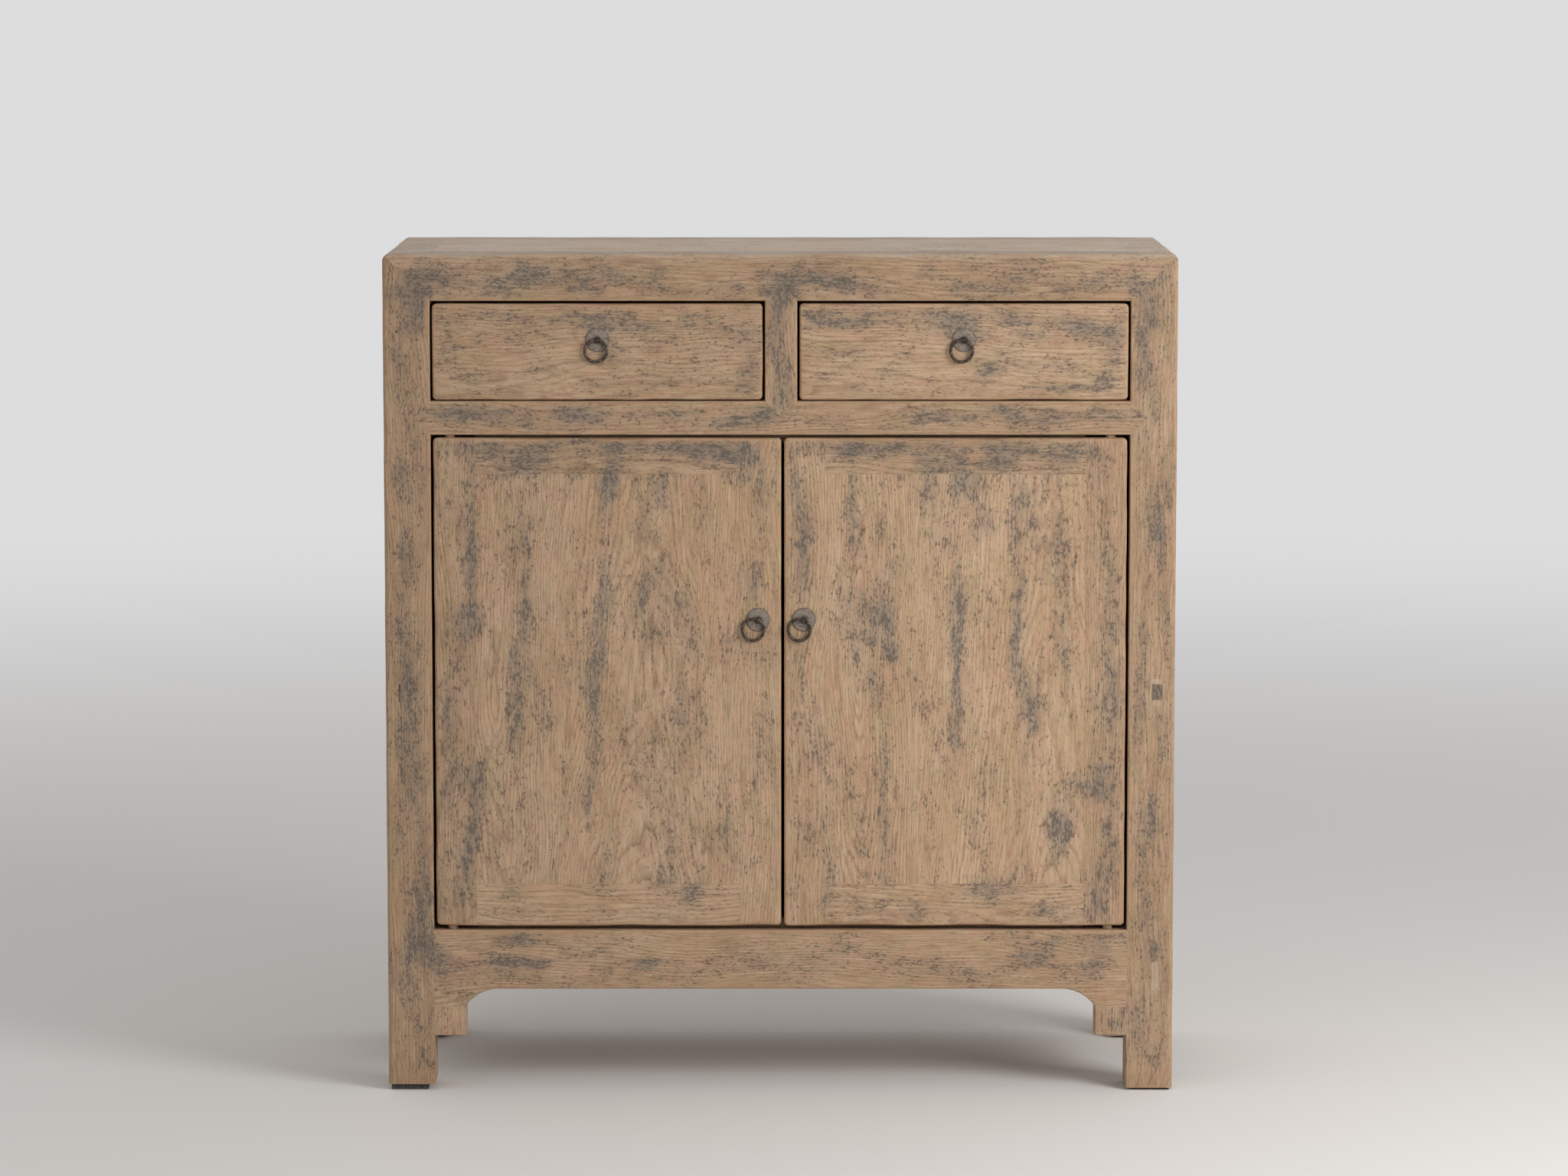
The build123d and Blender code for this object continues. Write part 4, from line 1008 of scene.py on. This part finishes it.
def band(form, rows, closed):
    """Skins rows of points, each of them a ring. Where closed, the last row joins the first."""
    grid = [[form.verts.new(p) for p in row] for row in rows]
    for upper, lower in zip(grid, grid[1:] + grid[:1] if closed else grid[1:]):
        for j in range(len(upper)):
            form.faces.new((upper[j - 1], upper[j], lower[j], lower[j - 1]))
    return grid


def steps_round(count):
    """The angles of a full turn in equal steps."""
    return [2 * math.pi * i / count for i in range(count)]


def pull_frame(joint):
    """(eye's centre, across, down) of a pull, from its ring's joint."""
    eye = Vector(joint["pos_m"])
    across = -Vector(joint["axis"]).normalized()
    down = across.cross(Vector((0, 1, 0))).normalized()
    if down.z > 0:
        down.negate()
    return eye, across, down


def forged_ring(joint, number):
    """A ring bent from round bar: a little uneven, thinned where it rubs, its ends butted at the bottom."""
    eye, across, down = pull_frame(joint)
    node = joint["child"].replace("_ring", "_pull_ring")
    centre = eye + down * RING_REACH
    butt = math.radians(18 + 7 * number)
    rows = []
    for turn in steps_round(96):
        x, z = math.cos(turn), math.sin(turn)
        ray = across * z + down * x
        thick = settings().iron.wire * (0.93 + 0.07 * noise.noise(Vector((x * 2, z * 2, number))))
        thick *= 1 - 0.10 * math.exp(-((turn - math.pi) / 0.5) ** 2)
        off = abs(math.atan2(math.sin(turn - butt), math.cos(turn - butt)))
        thick *= 1 - 0.30 * math.exp(-(off / 0.035) ** 2)
        path = RING_REACH - 0.15 * MM * (1 + noise.noise(Vector((x, z, 9 + number))))
        row = []
        for a in steps_round(18):
            hammered = thick * (1 - 0.035 * (1 + math.cos(5 * a + turn * 3 + number)) / 2)
            row.append(centre + ray * (path + hammered * math.cos(a)) + OUT * (hammered * math.sin(a)))
        rows.append(row)
    form = bmesh.new()
    band(form, rows, True)
    new_piece(node.replace("pull_ring", "forged_ring"), form,
              iron_material("Rubbed iron " + node, False), 50, joint["child"], "iron", node)


def hammered_plate(joint, number):
    """A round backplate cut from sheet, hammered to a low dome, with a slightly uneven rim."""
    eye, across, down = pull_frame(joint)
    node = joint["parent"] + "_pull_plate"
    low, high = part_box(node)
    centre = Vector((eye.x, high.y, eye.z))
    thick = high.y - low.y
    rows = []
    for reach, rise in PLATE_PROFILE:
        row = []
        for a in steps_round(72):
            x, z = math.cos(a), math.sin(a)
            uneven = noise.noise(Vector((x * 3, z * 3, number * 5 + 1)))
            rim = 1 - 0.012 * (1 + uneven) * (reach / PLATE_RIM)
            dent = 0.9 + 0.10 * noise.noise(Vector((x * reach / 3, z * reach / 3, number)))
            row.append(centre + (across * x + down * z) * (reach * MM * rim) + OUT * (thick * rise * dent))
        rows.append(row)
    form = bmesh.new()
    finish = form.verts.layers.float_color.new("finish")
    for (reach, _), row in zip(PLATE_PROFILE, band(form, rows, True)):
        # Painted shade: dark at the rim's edge, and stain with painted shade round the pin's hole.
        stained_and_shaded = max(smooth(reach, 12.6, 14.4), 1 - smooth(reach, 3.2, 6.5))
        for vert in row:
            vert[finish] = (stained_and_shaded, 0, 0, 1)
    new_piece(node.replace("pull_plate", "hammered_plate"), form,
              iron_material("Washed iron " + node, True), 40, joint["parent"], "iron", node)


def split_pin(joint, number):
    """A strip bent round into an eye: both ends go back through the wood and are clenched apart."""
    eye, across, down = pull_frame(joint)
    node = joint["parent"] + "_pull_pin"
    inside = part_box(node)[1].y - 0.65 * MM - eye.y
    start = math.asin(LEG / EYE)
    tail = [(inside, 12.4 * MM), (inside, 6.0 * MM), (inside, 2.2 * MM), (inside - 0.9 * MM, LEG),
            (inside * 0.5, LEG), (EYE + 0.8 * MM, LEG)]
    loop = [start + (2 * math.pi - 2 * start) * i / EYE_CUTS for i in range(EYE_CUTS + 1)]
    spine = tail + [(EYE * math.cos(a), EYE * math.sin(a)) for a in loop]
    spine += [(depth, -rise) for depth, rise in reversed(tail)]
    last = len(spine) - 1
    rows = []
    for i, (depth, rise) in enumerate(spine):
        run = Vector(spine[min(i + 1, last)]) - Vector(spine[max(i - 1, 0)])
        side = Vector((-run.y, run.x)).normalized()
        half = STRIP / 2 if depth < EYE else LEG_HALF
        if depth > inside - 0.5 * MM:
            half = CLENCHED_HALF
        taper = 0.55 if i in (0, last) else 1.0
        rows.append([eye - OUT * (depth + side.x * v * half) - down * (rise + side.y * v * half)
                     + across * (u * STRIP_WIDE / 2 * taper) for u, v in STRIP_CORNERS])
    form = bmesh.new()
    grid = band(form, rows, False)
    form.faces.new(list(reversed(grid[0])))
    form.faces.new(grid[-1])
    new_piece(node.replace("pull_pin", "split_pin"), form,
              iron_material("Dark iron " + node, False), 38, joint["parent"], "iron", node)


# ---- operators -------------------------------------------------------------------

class LaysBoards:
    """What the operators that only lay worn boards do."""
    boards = ()

    def execute(self, context):
        for node in self.boards:
            lay_board(node)
        return {"FINISHED"}


class CABINET_OT_posts(LaysBoards, bpy.types.Operator):
    """Four worn corner posts"""
    bl_idname = "cabinet.posts"
    bl_label = "Posts"
    boards = ("post_front_left", "post_front_right", "post_rear_left", "post_rear_right")


class CABINET_OT_top_frame(LaysBoards, bpy.types.Operator):
    """The mitred frame round the top"""
    bl_idname = "cabinet.top_frame"
    bl_label = "Top frame"
    boards = ("top_rail_front", "top_rail_rear", "top_rail_left", "top_rail_right")


class CABINET_OT_rails(LaysBoards, bpy.types.Operator):
    """Rails between the posts, and the drawer divider"""
    bl_idname = "cabinet.rails"
    bl_label = "Rails"
    boards = ("mid_rail_front", "mid_rail_rear", "drawer_divider", "bottom_rail_rear", "bottom_rail_left",
              "bottom_rail_right")


class CABINET_OT_apron(LaysBoards, bpy.types.Operator):
    """The apron board with its bracket heads"""
    bl_idname = "cabinet.apron"
    bl_label = "Apron"
    boards = ("bottom_rail_front", "apron_heads")


class CABINET_OT_top(LaysBoards, bpy.types.Operator):
    """Boards of the top"""
    bl_idname = "cabinet.top"
    bl_label = "Top boards"
    boards = ("top_boards",)


class CABINET_OT_panels(LaysBoards, bpy.types.Operator):
    """Side and back panels"""
    bl_idname = "cabinet.panels"
    bl_label = "Side and back panels"
    boards = ("side_panel_left", "side_panel_right", "back_panels")


class CABINET_OT_doors(LaysBoards, bpy.types.Operator):
    """Stiles, rails and panels of both doors"""
    bl_idname = "cabinet.doors"
    bl_label = "Doors"
    boards = [door + part for door in ("door_left_", "door_right_")
              for part in ("hinge_stile", "lock_stile", "top_rail", "bottom_rail", "panel")]


class CABINET_OT_drawers(LaysBoards, bpy.types.Operator):
    """Worn fronts of both drawers"""
    bl_idname = "cabinet.drawers"
    bl_label = "Drawer fronts"
    boards = ("drawer_left_front", "drawer_right_front")


class CABINET_OT_inside(bpy.types.Operator):
    """Bare inner boards: battens, runners, stops, floor and drawer boxes"""
    bl_idname = "cabinet.inside"
    bl_label = "Inner boards"

    def execute(self, context):
        for number, node in enumerate(sorted(INSIDE), FIRST_INSIDE):
            dress_solid(node, elm_material("Elm " + node, INSIDE[node], number))
        return {"FINISHED"}


class CABINET_OT_pads(bpy.types.Operator):
    """Pads under the feet"""
    bl_idname = "cabinet.pads"
    bl_label = "Foot pads"

    def execute(self, context):
        rubber, crumbled, dusty = (0.030, 0.029, 0.030), (0.075, 0.070, 0.068), (0.20, 0.18, 0.16)
        material, n, where = new_material("Foot pad rubber")
        crumb = n.noise(where, (1.6, 1.6, 1.6), 3, 0.6)
        tone = n.blend(n.ramp(crumb, 0.4, 0.62), rubber, crumbled)
        tone = n.lay(tone, dusty, n.ramp(n.noise(where, (9, 9, 4), 3, 0.6), 0.5, 0.7), 0.4)
        n.surface(crumb, 0.6, 0.4 * MM, {"Base Color": tone, "Roughness": 0.85})
        dress_solid("foot_pads", material)
        return {"FINISHED"}


class CABINET_OT_pulls(bpy.types.Operator):
    """Four iron pulls: plate, split pin and ring"""
    bl_idname = "cabinet.pulls"
    bl_label = "Ring pulls"

    def execute(self, context):
        swings = [j for j in frame["joints"] if j["name"].endswith("_ring_swing")]
        for number, joint in enumerate(swings):
            hammered_plate(joint, number)
            split_pin(joint, number)
            forged_ring(joint, number)
        return {"FINISHED"}


class CABINET_OT_stage(bpy.types.Operator):
    """Pale floor, soft lamps and the camera"""
    bl_idname = "cabinet.stage"
    bl_label = "Stage"

    def execute(self, context):
        context.scene.view_settings.view_transform = "Standard"
        stage = settings().stage
        self.lay_floor(stage)
        self.surround(context.scene, stage)
        self.hang_lamps(stage)
        self.set_camera(context.scene, stage)
        return {"FINISHED"}

    def lay_floor(self, stage):
        """A disc that fades out into the backdrop."""
        form = bmesh.new()
        bmesh.ops.create_circle(form, cap_ends=True, radius=9, segments=96)
        floor = add_object("floor", mesh_from(form, "floor"))
        material, n, where = new_material("Pale floor")
        shader = n.add("ShaderNodeBsdfPrincipled", {
            "Base Color": stage.floor, "Roughness": 0.9, "Specular IOR Level": 0.1})
        reach = n.add("ShaderNodeVectorMath", {0: where}, operation="LENGTH").outputs["Value"]
        n.add("ShaderNodeOutputMaterial", {"Surface": n.add("ShaderNodeMixShader", {
            "Fac": n.ramp(reach, 1200, 6500), 1: shader.outputs["BSDF"],
            2: n.add("ShaderNodeBsdfTransparent").outputs["BSDF"]}).outputs["Shader"]})
        floor.data.materials.append(material)

    def surround(self, scene, stage):
        """Even light from all round, and a plain backdrop for the camera and for reflections."""
        scene.world = bpy.data.worlds.new("Studio")
        scene.world.use_nodes = True
        scene.world.node_tree.nodes.clear()
        n = Nodes(scene.world.node_tree)
        light = n.add("ShaderNodeBackground", {"Color": stage.sky, "Strength": stage.sky_strength})
        seen = n.add("ShaderNodeBackground", {"Color": stage.backdrop, "Strength": 1.0})
        rays = n.add("ShaderNodeLightPath").outputs
        mirrored = n.math("MAXIMUM", rays["Is Glossy Ray"], rays["Is Transmission Ray"])
        n.add("ShaderNodeOutputWorld", {"Surface": n.add("ShaderNodeMixShader", {
            "Fac": n.math("MAXIMUM", rays["Is Camera Ray"], mirrored),
            1: light.outputs["Background"], 2: seen.outputs["Background"]}).outputs["Shader"]})

    def hang_lamps(self, stage):
        """Two large soft lamps that face the cabinet."""
        middle = Vector((0, 0, 0.55))
        for name, power, size, place in (
                ("Key lamp", stage.key_power, 1.3, Vector((2.2, -1.9, 1.6))),
                ("Fill lamp", stage.fill_power, 2.4, Vector((-2.6, -3.2, 1.8)))):
            lamp = add_object(name, bpy.data.lights.new(name, "AREA"))
            lamp.data.energy = power
            lamp.data.size = size
            lamp.location = place
            lamp.rotation_euler = (middle - place).to_track_quat("-Z", "Y").to_euler()

    def set_camera(self, scene, stage):
        camera = add_object("Camera", bpy.data.cameras.new("Camera"))
        camera.data.lens = stage.lens
        camera.data.sensor_width = 36
        camera.data.clip_end = 200
        camera.location = (stage.camera_side, FRONT - stage.camera_back, stage.camera_height)
        camera.rotation_euler = (math.radians(90) - stage.camera_tilt, 0, 0)
        scene.camera = camera


STEPS = (CABINET_OT_posts, CABINET_OT_top_frame, CABINET_OT_rails, CABINET_OT_apron, CABINET_OT_top,
         CABINET_OT_panels, CABINET_OT_doors, CABINET_OT_drawers, CABINET_OT_inside, CABINET_OT_pads,
         CABINET_OT_pulls, CABINET_OT_stage)


class CABINET_PT_panel(bpy.types.Panel):
    """Lists the cabinet's pieces and settings"""
    bl_label = "Washed Elm Cabinet"
    bl_idname = "CABINET_PT_panel"
    bl_space_type = "VIEW_3D"
    bl_region_type = "UI"
    bl_category = "Cabinet"

    def draw(self, context):
        column = self.layout.column()
        for step in STEPS:
            column.operator(step.bl_idname)
        for group in ("elm", "wear", "iron", "stage"):
            values = getattr(settings(), group)
            box = column.box()
            box.label(text=group.capitalize())
            for name in values.__annotations__:
                box.prop(values, name)


CLASSES = (ElmFinish, BoardWear, IronFinish, StageSettings, CabinetSettings, *STEPS, CABINET_PT_panel)


def register():
    for entry in CLASSES:
        bpy.utils.register_class(entry)
    bpy.types.Scene.elm_cabinet = PointerProperty(type=CabinetSettings)


def unregister():
    del bpy.types.Scene.elm_cabinet
    for entry in reversed(CLASSES):
        bpy.utils.unregister_class(entry)


def main():
    register()
    for step in STEPS:
        group, name = step.bl_idname.split(".")
        getattr(getattr(bpy.ops, group), name)()


if __name__ == "__main__":
    main()
